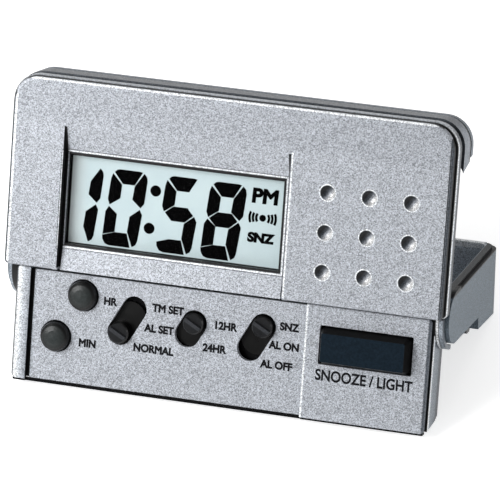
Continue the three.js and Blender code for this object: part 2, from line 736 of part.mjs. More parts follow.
function buildBatteryDoor() {
  const hump = cut(
    rodAlongX(CELL_N, CELL_U, doorOuter, -doorHalf, doorHalf, 40),
    rodAlongX(CELL_N, CELL_U, doorInner, -doorHalf + DOOR_WALL, doorHalf - DOOR_WALL, 40),
    box(-BEYOND, BEYOND, -BEYOND, doorFoot, -BEYOND, BEYOND),
  );
  const tab = cut(
    slab(
      roundedOutline(doorHalf - 0.5, CELL_U - 2.6, doorHalf + DOOR_TAB, CELL_U + 2.6, [0, 2.4, 2.4, 0]),
      doorFoot,
      doorFoot + 1.2,
    ),
    rodAlongN(doorHalf + DOOR_TAB / 2, CELL_U, SCREW_RADIUS + 0.25, 0, 20, 12),
  );
  const hook = join(
    box(-doorHalf - 1.5, -doorHalf + 0.5, doorFoot, doorFoot + 1, CELL_U - 2.7, CELL_U + 2.7),
    box(-doorHalf - 1.5, -doorHalf - 0.9, CASE_DEPTH - 2.2, doorFoot + 1, CELL_U - 2.7, CELL_U + 2.7),
  );
  // Fine grooves near the screw end for a fingernail.
  const grooves = [0, 1, 2].map((index) =>
    rodAlongN(doorHalf - 5 - 2 * index, CELL_U, 0.45, CELL_N + doorOuter - 0.35, CELL_N + doorOuter + 1, 8),
  );
  return cut(join(hump, tab, hook), ...grooves);
}

function buildTopCover() {
  const side = HALF_WIDTH + LEDGE_PROUD;
  const top = UPPER_HEIGHT + LEDGE_PROUD;
  const corner = TOP_CORNER + LEDGE_PROUD;
  const outline = roundedOutline(-side, LEDGE_UNDERSIDE, side, top, [
    SMALL_CORNER,
    SMALL_CORNER,
    corner,
    corner,
  ]);
  const rounded = slab(outline, TOP_COVER_FRONT - 2, LEDGE_BACK, EDGE_ROUNDING);
  const shell = cut(
    rounded,
    box(-BEYOND, BEYOND, -BEYOND, TOP_COVER_FRONT, -BEYOND, BEYOND),
    underLedge(),
  );
  const inside = slab(
    roundedOutline(
      -HALF_WIDTH + 2 * WALL,
      LEDGE_UNDERSIDE + 1.5 * WALL,
      HALF_WIDTH - 2 * WALL,
      UPPER_HEIGHT - 1.5 * WALL,
      [0, 0, TOP_CORNER - 2 * WALL, TOP_CORNER - 2 * WALL],
    ),
    0,
    LEDGE_BACK - WALL,
  );
  const body = join(cut(shell, inside), ...screwPads(topScrewPlaces(), LEDGE_BACK));
  return cut(body, ...screwHoles(topScrewPlaces(), LEDGE_BACK));
}

function buildScrew(x, u, headBack) {
  const neck = headBack - SCREW_HEAD;
  const tip = neck - SCREW_LENGTH + 1;
  const body = turned(
    x,
    u,
    [
      [0, tip - 0.6],
      [SCREW_RADIUS * 0.75, tip],
      [SCREW_RADIUS * 0.9, neck],
      [SCREW_HEAD_RADIUS, neck],
      [SCREW_HEAD_RADIUS, headBack - 0.3],
      [SCREW_HEAD_RADIUS - 0.4, headBack],
      [0, headBack],
    ],
    10,
  );
  const arm = SCREW_HEAD_RADIUS * 0.62;
  return cut(
    body,
    box(x - arm, x + arm, headBack - 0.5, headBack + 1, u - 0.2, u + 0.2),
    box(x - 0.2, x + 0.2, headBack - 0.5, headBack + 1, u - arm, u + arm),
  );
}

// ---- The control panel and what is pushed and slid in it ----

const sinkFront = PANEL_FRONT + PANEL_SINK;
const sinkBack = sinkFront + PANEL_SKIN;
const raisedBack = PANEL_FRONT + PANEL_SKIN;
const PANEL_TOP = -0.25;

function switchEnds({ x, u, travel }) {
  return { x0: x, u0: u, x1: x + travel * switchDirection.x, u1: u + travel * switchDirection.u };
}

function snoozeOutline(grow, radius) {
  return roundedOutline(
    SNOOZE_LEFT - grow,
    SNOOZE_TOP - SNOOZE_HEIGHT - grow,
    SNOOZE_LEFT + SNOOZE_WIDTH + grow,
    SNOOZE_TOP + grow,
    [radius, radius, radius, radius],
  );
}

function buildControlPanel() {
  const bottom = bottomU(PANEL_FRONT);
  const tall = 3;
  const outline = roundedOutline(-HALF_LOWER + 0.2, bottom, HALF_LOWER - 0.2, PANEL_TOP, [
    LOWER_CORNER,
    LOWER_CORNER,
    SMALL_CORNER,
    SMALL_CORNER,
  ]);
  const rounded = slab(outline, PANEL_FRONT, PANEL_FRONT + tall, EDGE_ROUNDING - 0.1);
  const face = cut(rounded, box(-BEYOND, BEYOND, PANEL_SEAM, BEYOND, -BEYOND, BEYOND));
  const lipSide = HALF_LOWER - 0.2 - SEAM_INSET;
  const lip = slab(
    roundedOutline(-lipSide, bottom + SEAM_INSET, lipSide, PANEL_TOP - SEAM_INSET, [
      LOWER_CORNER - SEAM_INSET,
      LOWER_CORNER - SEAM_INSET,
      0,
      0,
    ]),
    PANEL_SEAM - 0.1,
    LOWER_FRONT - GAP,
  );
  const skirtSide = HALF_LOWER - WALL - GAP;
  const skirtBottom = bottomU(LOWER_FRONT + 1) + WALL + GAP;
  const skirt = box(-skirtSide, skirtSide, PANEL_SEAM, LOWER_FRONT + 1, skirtBottom, PANEL_TOP - WALL);
  const backRaised = box(
    SINK_RIGHT + WALL,
    skirtSide - WALL,
    raisedBack,
    9,
    skirtBottom + WALL,
    1,
  );
  const backSunken = box(
    SINK_LEFT + WALL,
    SINK_RIGHT,
    sinkBack,
    9,
    skirtBottom + WALL,
    1,
  );
  const sink = box(SINK_LEFT, SINK_RIGHT, 0, sinkFront, bottom - 1, 1);
  const groove = box(SINK_LEFT, SINK_LEFT + GROOVE_WIDTH, 0, PANEL_FRONT + GROOVE_DEPTH, bottom - 1, 1);
  const holes = [HOUR_BUTTON, MINUTE_BUTTON].map(({ x, u }) =>
    rodAlongN(x, u, BUTTON_RADIUS + 0.3, 0, 9, 32),
  );
  const slots = SWITCHES.map((item) => {
    const { x0, u0, x1, u1 } = switchEnds(item);
    return slab(stadium(x0, u0, x1, u1, SLOT_WIDTH / 2), 0, 9);
  });
  const snooze = slab(snoozeOutline(0, 0.3), 0, 9);
  const body = cut(join(face, lip, skirt), backRaised, backSunken);
  return cut(body, sink, groove, ...holes, ...slots, snooze);
}

function buildRoundButton({ x, u }) {
  const flangeFront = sinkBack + GAP;
  return turned(
    x,
    u,
    [
      [0, BUTTON_TOP],
      [BUTTON_RADIUS * 0.45, BUTTON_TOP + 0.08 * BUTTON_DOME],
      [BUTTON_RADIUS * 0.75, BUTTON_TOP + 0.27 * BUTTON_DOME],
      [BUTTON_RADIUS * 0.93, BUTTON_TOP + 0.58 * BUTTON_DOME],
      [BUTTON_RADIUS, BUTTON_TOP + BUTTON_DOME],
      [BUTTON_RADIUS, flangeFront],
      [BUTTON_FLANGE, flangeFront],
      [BUTTON_FLANGE, flangeFront + FLANGE_THICKNESS],
      [0, flangeFront + FLANGE_THICKNESS],
    ],
    32,
  );
}

function buildSnoozeButton() {
  const flangeFront = raisedBack + GAP;
  const flangeBack = flangeFront + FLANGE_THICKNESS;
  const outline = snoozeOutline(-0.25, SNOOZE_DRAFT + GAP);
  const cap = tapered(outline, SNOOZE_FRONT, flangeBack + SNOOZE_RISE, SNOOZE_DRAFT, SNOOZE_RISE);
  const trimmed = cut(cap, box(-BEYOND, BEYOND, flangeBack - 0.2, BEYOND, -BEYOND, BEYOND));
  const flange = slab(snoozeOutline(FLANGE_OVERLAP, 0.5), flangeFront, flangeBack);
  const inset = SNOOZE_DRAFT + WALL;
  const hollow = box(
    SNOOZE_LEFT + inset,
    SNOOZE_LEFT + SNOOZE_WIDTH - inset,
    SNOOZE_FRONT + WALL,
    BEYOND,
    SNOOZE_TOP - SNOOZE_HEIGHT + inset,
    SNOOZE_TOP - inset,
  );
  const middle = SNOOZE_LEFT + SNOOZE_WIDTH / 2;
  const stem = rodAlongN(middle, SNOOZE_TOP - SNOOZE_HEIGHT / 2, 1.5, SNOOZE_FRONT + WALL / 2, flangeBack, 16);
  return join(cut(join(trimmed, flange), hollow), stem);
}

const sliderFront = sinkBack + GAP;
const sliderBack = sliderFront + 0.6;

function buildSlider(item) {
  const x = item.x + item.rest * item.travel * switchDirection.x;
  const u = item.u + item.rest * item.travel * switchDirection.u;
  const reach = item.travel / 2 + 0.6;
  const plate = slab(
    stadium(
      x - reach * switchDirection.x,
      u - reach * switchDirection.u,
      x + reach * switchDirection.x,
      u + reach * switchDirection.u,
      SLOT_WIDTH / 2 + FLANGE_OVERLAP,
    ),
    sliderFront,
    sliderBack,
  );
  const knob = turned(
    x,
    u,
    [
      [0, KNOB_TOP + KNOB_RIDGE],
      [KNOB_RADIUS - 0.3, KNOB_TOP + KNOB_RIDGE],
      [KNOB_RADIUS, KNOB_TOP + KNOB_RIDGE + 0.3],
      [KNOB_RADIUS, sliderBack],
      [0, sliderBack],
    ],
    28,
  );
  // A finger ridge across the knob, square to the way it slides.
  const half = KNOB_RADIUS - 0.35;
  const ridge = new THREE.BoxGeometry(2 * half, KNOB_RIDGE + 0.6, 0.8);
  ridge.rotateY(-radians(SLOT_ANGLE - 90));
  ridge.translate(x, KNOB_TOP + (KNOB_RIDGE + 0.6) / 2, u);
  return join(plate, knob, solid(ridge));
}

function buildSwitchCan(item) {
  const { x0, u0, x1, u1 } = switchEnds(item);
  return slab(
    stadium(x0, u0, x1, u1, SLOT_WIDTH / 2 + 1.1),
    sliderBack + GAP,
    BOARD_FRONT - INNER_GAP,
  );
}

function buildButtonMembrane() {
  const front = sinkBack + GAP + FLANGE_THICKNESS + BUTTON_TRAVEL + 0.1;
  const sheet = slab(
    stadium(MINUTE_BUTTON.x, MINUTE_BUTTON.u, HOUR_BUTTON.x, HOUR_BUTTON.u, BUTTON_FLANGE + 0.4),
    front,
    BOARD_FRONT - INNER_GAP,
  );
  const vents = [HOUR_BUTTON, MINUTE_BUTTON].map(({ x, u }) => rodAlongN(x, u, 1.4, front + 0.2, 9, 16));
  return cut(sheet, ...vents);
}

function buildSnoozeMembrane() {
  const front = raisedBack + GAP + FLANGE_THICKNESS + SNOOZE_TRAVEL + 0.1;
  const x = SNOOZE_LEFT + SNOOZE_WIDTH / 2;
  const u = SNOOZE_TOP - SNOOZE_HEIGHT / 2;
  return cut(
    turned(
      x,
      u,
      [
        [0, front],
        [0.45 * DOME_RADIUS, front],
        [0.65 * DOME_RADIUS, BOARD_FRONT - INNER_GAP - 0.4],
        [DOME_RADIUS, BOARD_FRONT - INNER_GAP - 0.4],
        [DOME_RADIUS, BOARD_FRONT - INNER_GAP],
        [0, BOARD_FRONT - INNER_GAP],
      ],
      20,
    ),
    rodAlongN(x, u, 1.4, front + 0.5, 9, 16),
  );
}

// ---- Display and electronics ----

function displayBox(grow, n0, n1, lift = 0) {
  return box(
    DISPLAY_LEFT - grow,
    DISPLAY_RIGHT + grow,
    n0,
    n1,
    DISPLAY_BOTTOM - grow + lift,
    DISPLAY_TOP + grow,
  );
}

const BOARD_HALF = HALF_WELL - WALL - 4.2;
const MAIN_BOARD_BOTTOM = 1.9;
const MAIN_BOARD_TOP = 17.2;
const CONTROL_BOARD_HALF = HALF_LOWER - WALL - 1.2;
const CONTROL_BOARD_TOP = -2.4;
const CONTROL_BOARD_BOTTOM = bottomU(BOARD_BACK) + WALL + 0.8;

function mainBoardHoles() {
  return mirrored((side) => ({ x: side * (BOARD_HALF - 2.5), u: MAIN_BOARD_BOTTOM + 2.2 }));
}

function controlBoardHoles() {
  return mirrored((side) => ({ x: side * (CONTROL_BOARD_HALF - 2.5), u: CONTROL_BOARD_BOTTOM + 2.6 }));
}

function buildBoard(half, low, high, holes) {
  const plate = box(-half, half, BOARD_FRONT, BOARD_FRONT + BOARD_THICKNESS, low, high);
  return cut(plate, ...holes.map(({ x, u }) => rodAlongN(x, u, BOARD_HOLE, 0, 12, 16)));
}

function buildRibbon() {
  const back = BOARD_BACK + INNER_GAP;
  const shape = new THREE.Shape();
  shape.moveTo(back, -5);
  shape.lineTo(back, -2);
  shape.quadraticCurveTo(back + 1.6, -0.2, back, 2.1);
  shape.lineTo(back, 5);
  shape.lineTo(back + 0.25, 5);
  shape.lineTo(back + 0.25, 2.2);
  shape.quadraticCurveTo(back + 1.95, -0.2, back + 0.25, -2.1);
  shape.lineTo(back + 0.25, -5);
  return bar(shape, -RIBBON_WIDTH / 2, RIBBON_WIDTH / 2);
}

function buildChip() {
  const back = BOARD_BACK + INNER_GAP;
  return turned(
    CHIP_PLACE.x,
    CHIP_PLACE.u,
    [
      [0, back],
      [CHIP_RADIUS, back],
      [0.92 * CHIP_RADIUS, back + 0.4 * CHIP_HEIGHT],
      [0.6 * CHIP_RADIUS, back + 0.85 * CHIP_HEIGHT],
      [0, back + CHIP_HEIGHT],
    ],
    18,
  );
}

function buildCrystal() {
  const { x, u } = CRYSTAL_PLACE;
  const centre = BOARD_BACK + INNER_GAP + CRYSTAL_RADIUS;
  return rodAlongX(centre, u, CRYSTAL_RADIUS, x - CRYSTAL_LENGTH / 2, x + CRYSTAL_LENGTH / 2, 16);
}

function buildBuzzer() {
  const front = BEZEL_THICKNESS + INNER_GAP;
  return turned(
    DIMPLE_X,
    DIMPLE_U,
    [
      [0, front],
      [BUZZER_RADIUS, front],
      [BUZZER_RADIUS, front + BUZZER_THICKNESS],
      [BUZZER_CERAMIC_RADIUS, front + BUZZER_THICKNESS],
      [BUZZER_CERAMIC_RADIUS, front + 2 * BUZZER_THICKNESS],
      [0, front + 2 * BUZZER_THICKNESS],
    ],
    24,
  );
}

function buildBuzzerLead(offset) {
  const front = BEZEL_THICKNESS + 2 * BUZZER_THICKNESS + 2 * INNER_GAP + 0.25;
  const points = [
    new THREE.Vector3(DIMPLE_X - 6 + offset, front, 13),
    new THREE.Vector3(DIMPLE_X - 8 + offset, front + 0.5, 10),
    new THREE.Vector3(DIMPLE_X - 10 + offset, front + 2.2, 8.5),
    new THREE.Vector3(DIMPLE_X - 11 + offset, BOARD_FRONT - 0.3, 7),
  ];
  return wire(points, 0.25, 12, 6);
}

// ---- Battery ----

function buildCell() {
  const left = -CELL_LENGTH / 2;
  const can = new THREE.LatheGeometry(
    [
      [0, 0],
      [CELL_RADIUS - 0.4, 0],
      [CELL_RADIUS, 0.4],
      [CELL_RADIUS, CELL_LENGTH - 0.4],
      [CELL_RADIUS - 0.4, CELL_LENGTH],
      [CELL_NUB_RADIUS, CELL_LENGTH],
      [CELL_NUB_RADIUS, CELL_LENGTH + CELL_NUB],
      [0, CELL_LENGTH + CELL_NUB],
    ].map(([radius, along]) => new THREE.Vector2(radius, along)),
    24,
  );
  can.rotateZ(-Math.PI / 2);
  can.translate(left, CELL_N, CELL_U);
  return solid(can);
}

const contactWall = doorHalf - DOOR_END_WALL;

function buildPositiveContact() {
  const x = CELL_LENGTH / 2 + CELL_NUB + INNER_GAP;
  const leaf = new THREE.Shape();
  leaf.moveTo(contactWall - 0.6, CELL_N - 2.6);
  leaf.lineTo(contactWall - INNER_GAP, CELL_N - 2.6);
  leaf.lineTo(contactWall - INNER_GAP, CELL_N + 3);
  leaf.lineTo(x + 0.5, CELL_N + 0.8);
  leaf.lineTo(x, CELL_N + 0.4);
  leaf.lineTo(x, CELL_N - 0.4);
  leaf.lineTo(x + 0.5, CELL_N - 0.6);
  leaf.lineTo(contactWall - 0.6, CELL_N + 1.6);
  const geometry = new THREE.ExtrudeGeometry(leaf, { depth: 5, bevelEnabled: false });
  geometry.translate(0, 0, CELL_U - 2.5);
  return solid(geometry);
}

function buildNegativeContact() {
  const start = -contactWall + INNER_GAP;
  const plate = box(start, start + 0.4, CELL_N - 3, CELL_N + 3, CELL_U - 3, CELL_U + 3);
  const turns = 3;
  const steps = 8 * turns;
  const length = contactWall - CELL_LENGTH / 2 - 2 * INNER_GAP - 0.5;
  const points = [];
  for (let step = 0; step <= steps; step += 1) {
    const share = step / steps;
    const angle = 2 * Math.PI * turns * share;
    const radius = 2.6 - 1 * share;
    points.push(
      new THREE.Vector3(
        start + 0.45 + (length - 0.5) * share,
        CELL_N + radius * Math.cos(angle),
        CELL_U + radius * Math.sin(angle),
      ),
    );
  }
  return join(plate, wire(points, 0.25, steps, 6));
}

// ---- The stand ----

const standBottom = (v) => {
  const share = (v - STAND_STEP) / (STAND_LENGTH - STAND_STEP);
  return v <= STAND_STEP
    ? -ARM_RADIUS - (STAND_NEAR_DROP * v) / STAND_STEP
    : -STAND_STEP_DEPTH - (STAND_FAR_DEPTH - STAND_STEP_DEPTH) * share;
};

function standProfile() {
  const landStart = STAND_LENGTH - STAND_LAND;
  const landRise = STAND_LAND * Math.tan(LEAN - radians(OPEN_ANGLE));
  const shape = new THREE.Shape();
  shape.moveTo(0, -ARM_RADIUS);
  shape.lineTo(STAND_STEP, -ARM_RADIUS - STAND_NEAR_DROP);
  shape.lineTo(STAND_STEP + 0.2, -STAND_STEP_DEPTH);
  shape.lineTo(landStart, -STAND_FAR_DEPTH);
  shape.lineTo(STAND_LENGTH, -STAND_FAR_DEPTH + landRise);
  shape.absarc(STAND_LENGTH - STAND_EDGE, RIM_W - STAND_EDGE, STAND_EDGE, 0, Math.PI / 2);
  shape.lineTo(0, RIM_W);
  shape.absarc(0, 0, ARM_RADIUS, Math.PI / 2, 1.5 * Math.PI);
  return shape;
}

// How far from the axis the floor starts, so that it stops against the back of the lower case.
const floorStart = (() => {
  const open = radians(OPEN_ANGLE);
  const reachN = CASE_DEPTH + GAP + 0.05 - HINGE_N;
  const w = -ARM_RADIUS + STAND_FLOOR;
  return (reachN + w * Math.sin(open)) / Math.cos(open);
})();

function buildStand() {
  const plan = roundedOutline(-HALF_WIDTH, -ARM_RADIUS - 1, HALF_WIDTH, STAND_LENGTH, [
    0,
    0,
    STAND_CORNER,
    STAND_CORNER,
  ]);
  const planInner = roundedOutline(-ARM_INNER, -ARM_RADIUS - 3, ARM_INNER, STAND_LENGTH - STAND_WALL, [
    0,
    0,
    STAND_CORNER - STAND_WALL / 2,
    STAND_CORNER - STAND_WALL / 2,
  ]);
  const upright = (shape, w0, w1) => {
    const geometry = new THREE.ExtrudeGeometry(shape, {
      depth: w1 - w0,
      bevelEnabled: false,
      curveSegments: ARC_STEPS,
    });
    geometry.translate(0, 0, w0);
    return solid(geometry);
  };
  const block = bar(standProfile(), -HALF_WIDTH, HALF_WIDTH, 2 * ARC_STEPS).intersect(upright(plan, -15, 15));
  const deepInner = STAND_STEP + 0.2 + STAND_FLOOR;
  const hollowProfile = polygon([
    [-20, -ARM_RADIUS + STAND_FLOOR],
    [0, -ARM_RADIUS + STAND_FLOOR],
    [deepInner, standBottom(STAND_STEP) + STAND_FLOOR],
    [deepInner, -STAND_STEP_DEPTH + STAND_FLOOR],
    [STAND_LENGTH, -STAND_FAR_DEPTH + STAND_FLOOR],
    [STAND_LENGTH, 20],
    [-20, 20],
  ]);
  const hollow = bar(hollowProfile, -HALF_WIDTH, HALF_WIDTH).intersect(upright(planInner, -15, 25));
  const nearCut = box(-ARM_INNER, ARM_INNER, -BEYOND, floorStart, -BEYOND, BEYOND);
  const stepSide = HALF_WIDTH - REBATE_WIDTH;
  const stepCorner = STAND_CORNER - REBATE_WIDTH;
  const stepPlan = roundedOutline(-stepSide, -ARM_RADIUS - 5, stepSide, STAND_LENGTH - REBATE_WIDTH, [
    0,
    0,
    stepCorner,
    stepCorner,
  ]);
  const rebates = mirrored((side) => {
    const inner = side * (HALF_WIDTH - STAND_CORNER);
    const outer = side * BEYOND;
    const floor = RIM_W - REBATE_DEPTH;
    const band = box(Math.min(inner, outer), Math.max(inner, outer), ARM_RADIUS / 2, BEYOND, floor, 20);
    return cut(band, upright(stepPlan, -15, 25));
  });
  const pinHoles = mirrored((side) =>
    rodAlongX(
      0,
      0,
      HINGE_PIN_RADIUS + HINGE_CLEARANCE,
      side > 0 ? ARM_INNER - 1 : -HALF_WIDTH + 0.45,
      side > 0 ? HALF_WIDTH - 0.45 : -ARM_INNER + 1,
    ),
  );
  return cut(block, hollow, nearCut, ...rebates, ...pinHoles);
}

function buildPad(side) {
  const outer = side * (ARM_INNER - 0.3);
  const inner = outer - side * PAD_LENGTH;
  const start = STAND_STEP + 0.6;
  const top = standBottom(start + PAD_WIDTH) - GAP;
  const shape = roundedOutline(start, top - PAD_HEIGHT, start + PAD_WIDTH, top, [0.6, 0.6, 0, 0]);
  return bar(shape, Math.min(inner, outer), Math.max(inner, outer));
}

function buildHingePin(side) {
  const inner = side * (HALF_LOWER - PIN_SEAT + 0.4 + INNER_GAP);
  const outer = side * (HALF_WIDTH - 0.45 - INNER_GAP);
  return rodAlongX(HINGE_N, HINGE_U, HINGE_PIN_RADIUS, Math.min(inner, outer), Math.max(inner, outer));
}

// ---- The clock put together ----

const clock = new THREE.Group();
const caseGroup = new THREE.Group();
caseGroup.rotation.x = -LEAN;
clock.add(caseGroup);
const standGroup = new THREE.Group();
standGroup.position.set(0, HINGE_N, HINGE_U);
standGroup.rotation.x = radians(OPEN_ANGLE);
caseGroup.add(standGroup);

addMesh(caseGroup, "display_bezel", buildBezel(), silver());
addMesh(caseGroup, "case_frame", buildFrame(), graphite());
addMesh(caseGroup, "rear_cover", buildRearCover(), graphite());
addMesh(caseGroup, "top_cover", buildTopCover(), graphite());
addMesh(caseGroup, "battery_door", buildBatteryDoor(), graphite());
screwPlaces().forEach(({ x, u }, index) => {
  addMesh(caseGroup, `cover_screw_${index + 1}`, buildScrew(x, u, CASE_DEPTH), steel());
});
topScrewPlaces().forEach(({ x, u }, index) => {
  addMesh(caseGroup, `top_screw_${index + 1}`, buildScrew(x, u, LEDGE_BACK), steel());
});
addMesh(
  caseGroup,
  "door_screw",
  buildScrew(doorHalf + DOOR_TAB / 2, CELL_U, doorFoot + 1.2 + SCREW_HEAD + 0.1),
  steel(),
);

addMesh(caseGroup, "control_panel", buildControlPanel(), silver());
addMesh(caseGroup, "hour_button", buildRoundButton(HOUR_BUTTON), blackRubber());
addMesh(caseGroup, "minute_button", buildRoundButton(MINUTE_BUTTON), blackRubber());
addMesh(caseGroup, "button_membrane", buildButtonMembrane(), blackRubber());
addMesh(caseGroup, "snooze_button", buildSnoozeButton(), finish(0x2a3136, 0.45, 0));
addMesh(caseGroup, "snooze_membrane", buildSnoozeMembrane(), blackRubber());
for (const item of SWITCHES) {
  addMesh(caseGroup, `${item.name}_knob`, buildSlider(item), blackPlastic());
  addMesh(caseGroup, `${item.name}_switch`, buildSwitchCan(item), blackPlastic());
}

addMesh(
  caseGroup,
  "display_lens",
  displayBox(0.8, lensFront, lensFront + LENS_THICKNESS),
  new THREE.MeshStandardMaterial({ color: 0xe8f2f2, roughness: 0.08, transparent: true, opacity: 0.3 }),
);
addMesh(
  caseGroup,
  "display_glass",
  displayBox(GLASS_MARGIN, glassFront, glassFront + GLASS_THICKNESS),
  finish(0xcbe0df, 0.25, 0),
);
addMesh(
  caseGroup,
  "light_guide",
  displayBox(0.4, guideFront, guideFront + GUIDE_THICKNESS, 0.8),
  finish(0xf1f4ef, 0.4, 0),
);
addMesh(
  caseGroup,
  "backlight_led",
  box(DISPLAY_RIGHT + 0.7, DISPLAY_RIGHT + 2.7, guideFront, BOARD_FRONT - INNER_GAP, 9, 11.4),
  finish(0xf4f1dc, 0.3, 0),
);
addMesh(
  caseGroup,
  "display_connector",
  box(DISPLAY_LEFT + 1, DISPLAY_RIGHT - 1, guideFront, BOARD_FRONT - INNER_GAP, 4.6, 5.9),
  finish(0xc9bda8, 0.7, 0),
);
addMesh(
  caseGroup,
  "main_board",
  buildBoard(BOARD_HALF, MAIN_BOARD_BOTTOM, MAIN_BOARD_TOP, mainBoardHoles()),
  finish(0x2f6b3c, 0.55, 0),
);
addMesh(caseGroup, "clock_chip", buildChip(), finish(0x141414, 0.35, 0));
addMesh(caseGroup, "quartz_crystal", buildCrystal(), steel());
addMesh(
  caseGroup,
  "control_board",
  buildBoard(CONTROL_BOARD_HALF, CONTROL_BOARD_BOTTOM, CONTROL_BOARD_TOP, controlBoardHoles()),
  finish(0x2f6b3c, 0.55, 0),
);
addMesh(caseGroup, "board_ribbon", buildRibbon(), finish(0xb98a3a, 0.5, 0));
addMesh(caseGroup, "buzzer_disc", buildBuzzer(), finish(0xc9a45a, 0.3, 1));
addMesh(caseGroup, "buzzer_lead_1", buildBuzzerLead(0), finish(0xa02020, 0.5, 0));
addMesh(caseGroup, "buzzer_lead_2", buildBuzzerLead(2), finish(0x202020, 0.5, 0));

addMesh(caseGroup, "battery_cell", buildCell(), finish(0x3b4750, 0.35, 0.4));
addMesh(caseGroup, "positive_contact", buildPositiveContact(), steel());
addMesh(caseGroup, "negative_contact", buildNegativeContact(), steel());

mirrored((side) => {
  const place = side < 0 ? "left" : "right";
  addMesh(caseGroup, `hinge_pin_${place}`, buildHingePin(side), steel());
  addMesh(standGroup, `stand_pad_${place}`, buildPad(side), blackRubber());
});
addMesh(standGroup, "stand", buildStand(), graphite());

// Stand the clock on z = 0 with its footprint centred.
const bounds = new THREE.Box3().setFromObject(clock, true);
const centre = bounds.getCenter(new THREE.Vector3());
clock.position.set(-centre.x, -centre.y, -bounds.min.z);

export default clock;
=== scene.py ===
"""Looks of the folding travel alarm clock: paint, lettering, display segments, light and camera.

Lengths are in millimetres unless a comment says otherwise. A place on the clock is given along the
case's own axes: x to the right, n from the front face to the back, and u up along the face.
"""

import json
import math

import bmesh
import bpy
from mathutils import Matrix, Vector


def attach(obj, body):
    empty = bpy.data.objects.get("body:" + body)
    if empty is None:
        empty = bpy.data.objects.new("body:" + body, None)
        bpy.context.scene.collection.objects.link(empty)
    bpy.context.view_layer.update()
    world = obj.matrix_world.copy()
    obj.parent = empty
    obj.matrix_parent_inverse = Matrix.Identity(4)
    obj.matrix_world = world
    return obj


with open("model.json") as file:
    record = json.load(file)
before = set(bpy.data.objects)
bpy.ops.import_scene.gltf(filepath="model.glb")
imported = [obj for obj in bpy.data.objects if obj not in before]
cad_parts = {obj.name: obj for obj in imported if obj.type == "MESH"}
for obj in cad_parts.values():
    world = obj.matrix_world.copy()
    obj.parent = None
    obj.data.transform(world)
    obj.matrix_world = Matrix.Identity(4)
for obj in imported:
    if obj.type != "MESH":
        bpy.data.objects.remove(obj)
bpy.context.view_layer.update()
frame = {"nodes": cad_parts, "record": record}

MM = 0.001

# ---- Axes of the case and of the open stand ----

HINGE_N = 10.4
HINGE_U = -0.66
STAND_LEAN = math.radians(8.36)  # how far the open stand is tilted from square to the case

joints = {joint["name"]: joint for joint in frame["record"]["behaviour"]["joints"]}
axis_x = Vector((1, 0, 0))
axis_n = Vector(joints["hour_button_press"]["axis"]).normalized()
axis_u = axis_x.cross(axis_n).normalized()
hinge = Vector(joints["stand_hinge"]["pos_m"])
face_origin = hinge - axis_n * HINGE_N * MM - axis_u * HINGE_U * MM

stand_rise = axis_u * math.cos(STAND_LEAN) - axis_n * math.sin(STAND_LEAN)
stand_reach = axis_n * math.cos(STAND_LEAN) + axis_u * math.sin(STAND_LEAN)


def at(x, n, u):
    """A place on the clock, as a point in metres in the shared frame."""
    return face_origin + (axis_x * x + axis_n * n + axis_u * u) * MM


def facing(x, n, u):
    """The placing of a flat thing that lies on the face and is read from the front."""
    basis = Matrix((axis_x, axis_u, -axis_n)).transposed()
    return Matrix.Translation(at(x, n, u)) @ basis.to_4x4()


def extent(node, axis):
    """Where a CAD piece starts and ends along an axis, to a thousandth of a millimetre."""
    vertices = frame["nodes"][node].data.vertices
    places = [(vertex.co - face_origin).dot(axis) / MM for vertex in vertices]
    return round(min(places), 3), round(max(places), 3)


def linked(name, data):
    """A new object in the scene that shows the data."""
    made = bpy.data.objects.new(name, data)
    bpy.context.scene.collection.objects.link(made)
    return made


# ---- Camera ----

FOCAL_LENGTH = 344.7
SENSOR_WIDTH = 36
CLIP_START, CLIP_END = 0.05, 20  # metres
FITTED_LEAN = math.radians(24.61)  # the case's lean for which the five values below hold
AZIMUTH = math.radians(20.58)
ELEVATION = math.radians(34.54)
ROLL = math.radians(-4.58)
DISTANCE = 1020.4
TARGET = Vector((7.83, 0.0, 12.2))


def camera_matrix():
    """The view is fixed to the face, so it's built for a known lean and then carried over."""
    up_then = Vector((0, math.sin(FITTED_LEAN), math.cos(FITTED_LEAN)))
    back_then = Vector((0, math.cos(FITTED_LEAN), -math.sin(FITTED_LEAN)))
    then = Matrix((axis_x, back_then, up_then))
    now = Matrix((axis_x, axis_n, axis_u)).transposed()
    turn = now @ then
    level = math.cos(ELEVATION)
    back = Vector((math.sin(AZIMUTH) * level, -math.cos(AZIMUTH) * level, math.sin(ELEVATION)))
    right = Vector((math.cos(AZIMUTH), math.sin(AZIMUTH), 0))
    up = back.cross(right)
    rolled_right = right * math.cos(ROLL) + up * math.sin(ROLL)
    rolled_up = up * math.cos(ROLL) - right * math.sin(ROLL)
    basis = Matrix((turn @ rolled_right, turn @ rolled_up, turn @ back)).transposed()
    eye = TARGET + back * DISTANCE
    return Matrix.Translation(face_origin + turn @ eye * MM) @ basis.to_4x4()


camera_data = bpy.data.cameras.new("camera")
camera_data.lens = FOCAL_LENGTH
camera_data.sensor_width = SENSOR_WIDTH
camera_data.clip_start = CLIP_START
camera_data.clip_end = CLIP_END
camera = linked("camera", camera_data)
camera.matrix_world = camera_matrix()
bpy.context.scene.camera = camera

# ---- Node tools ----

SOFT = 0.05  # how wide the edge of a painted stripe is


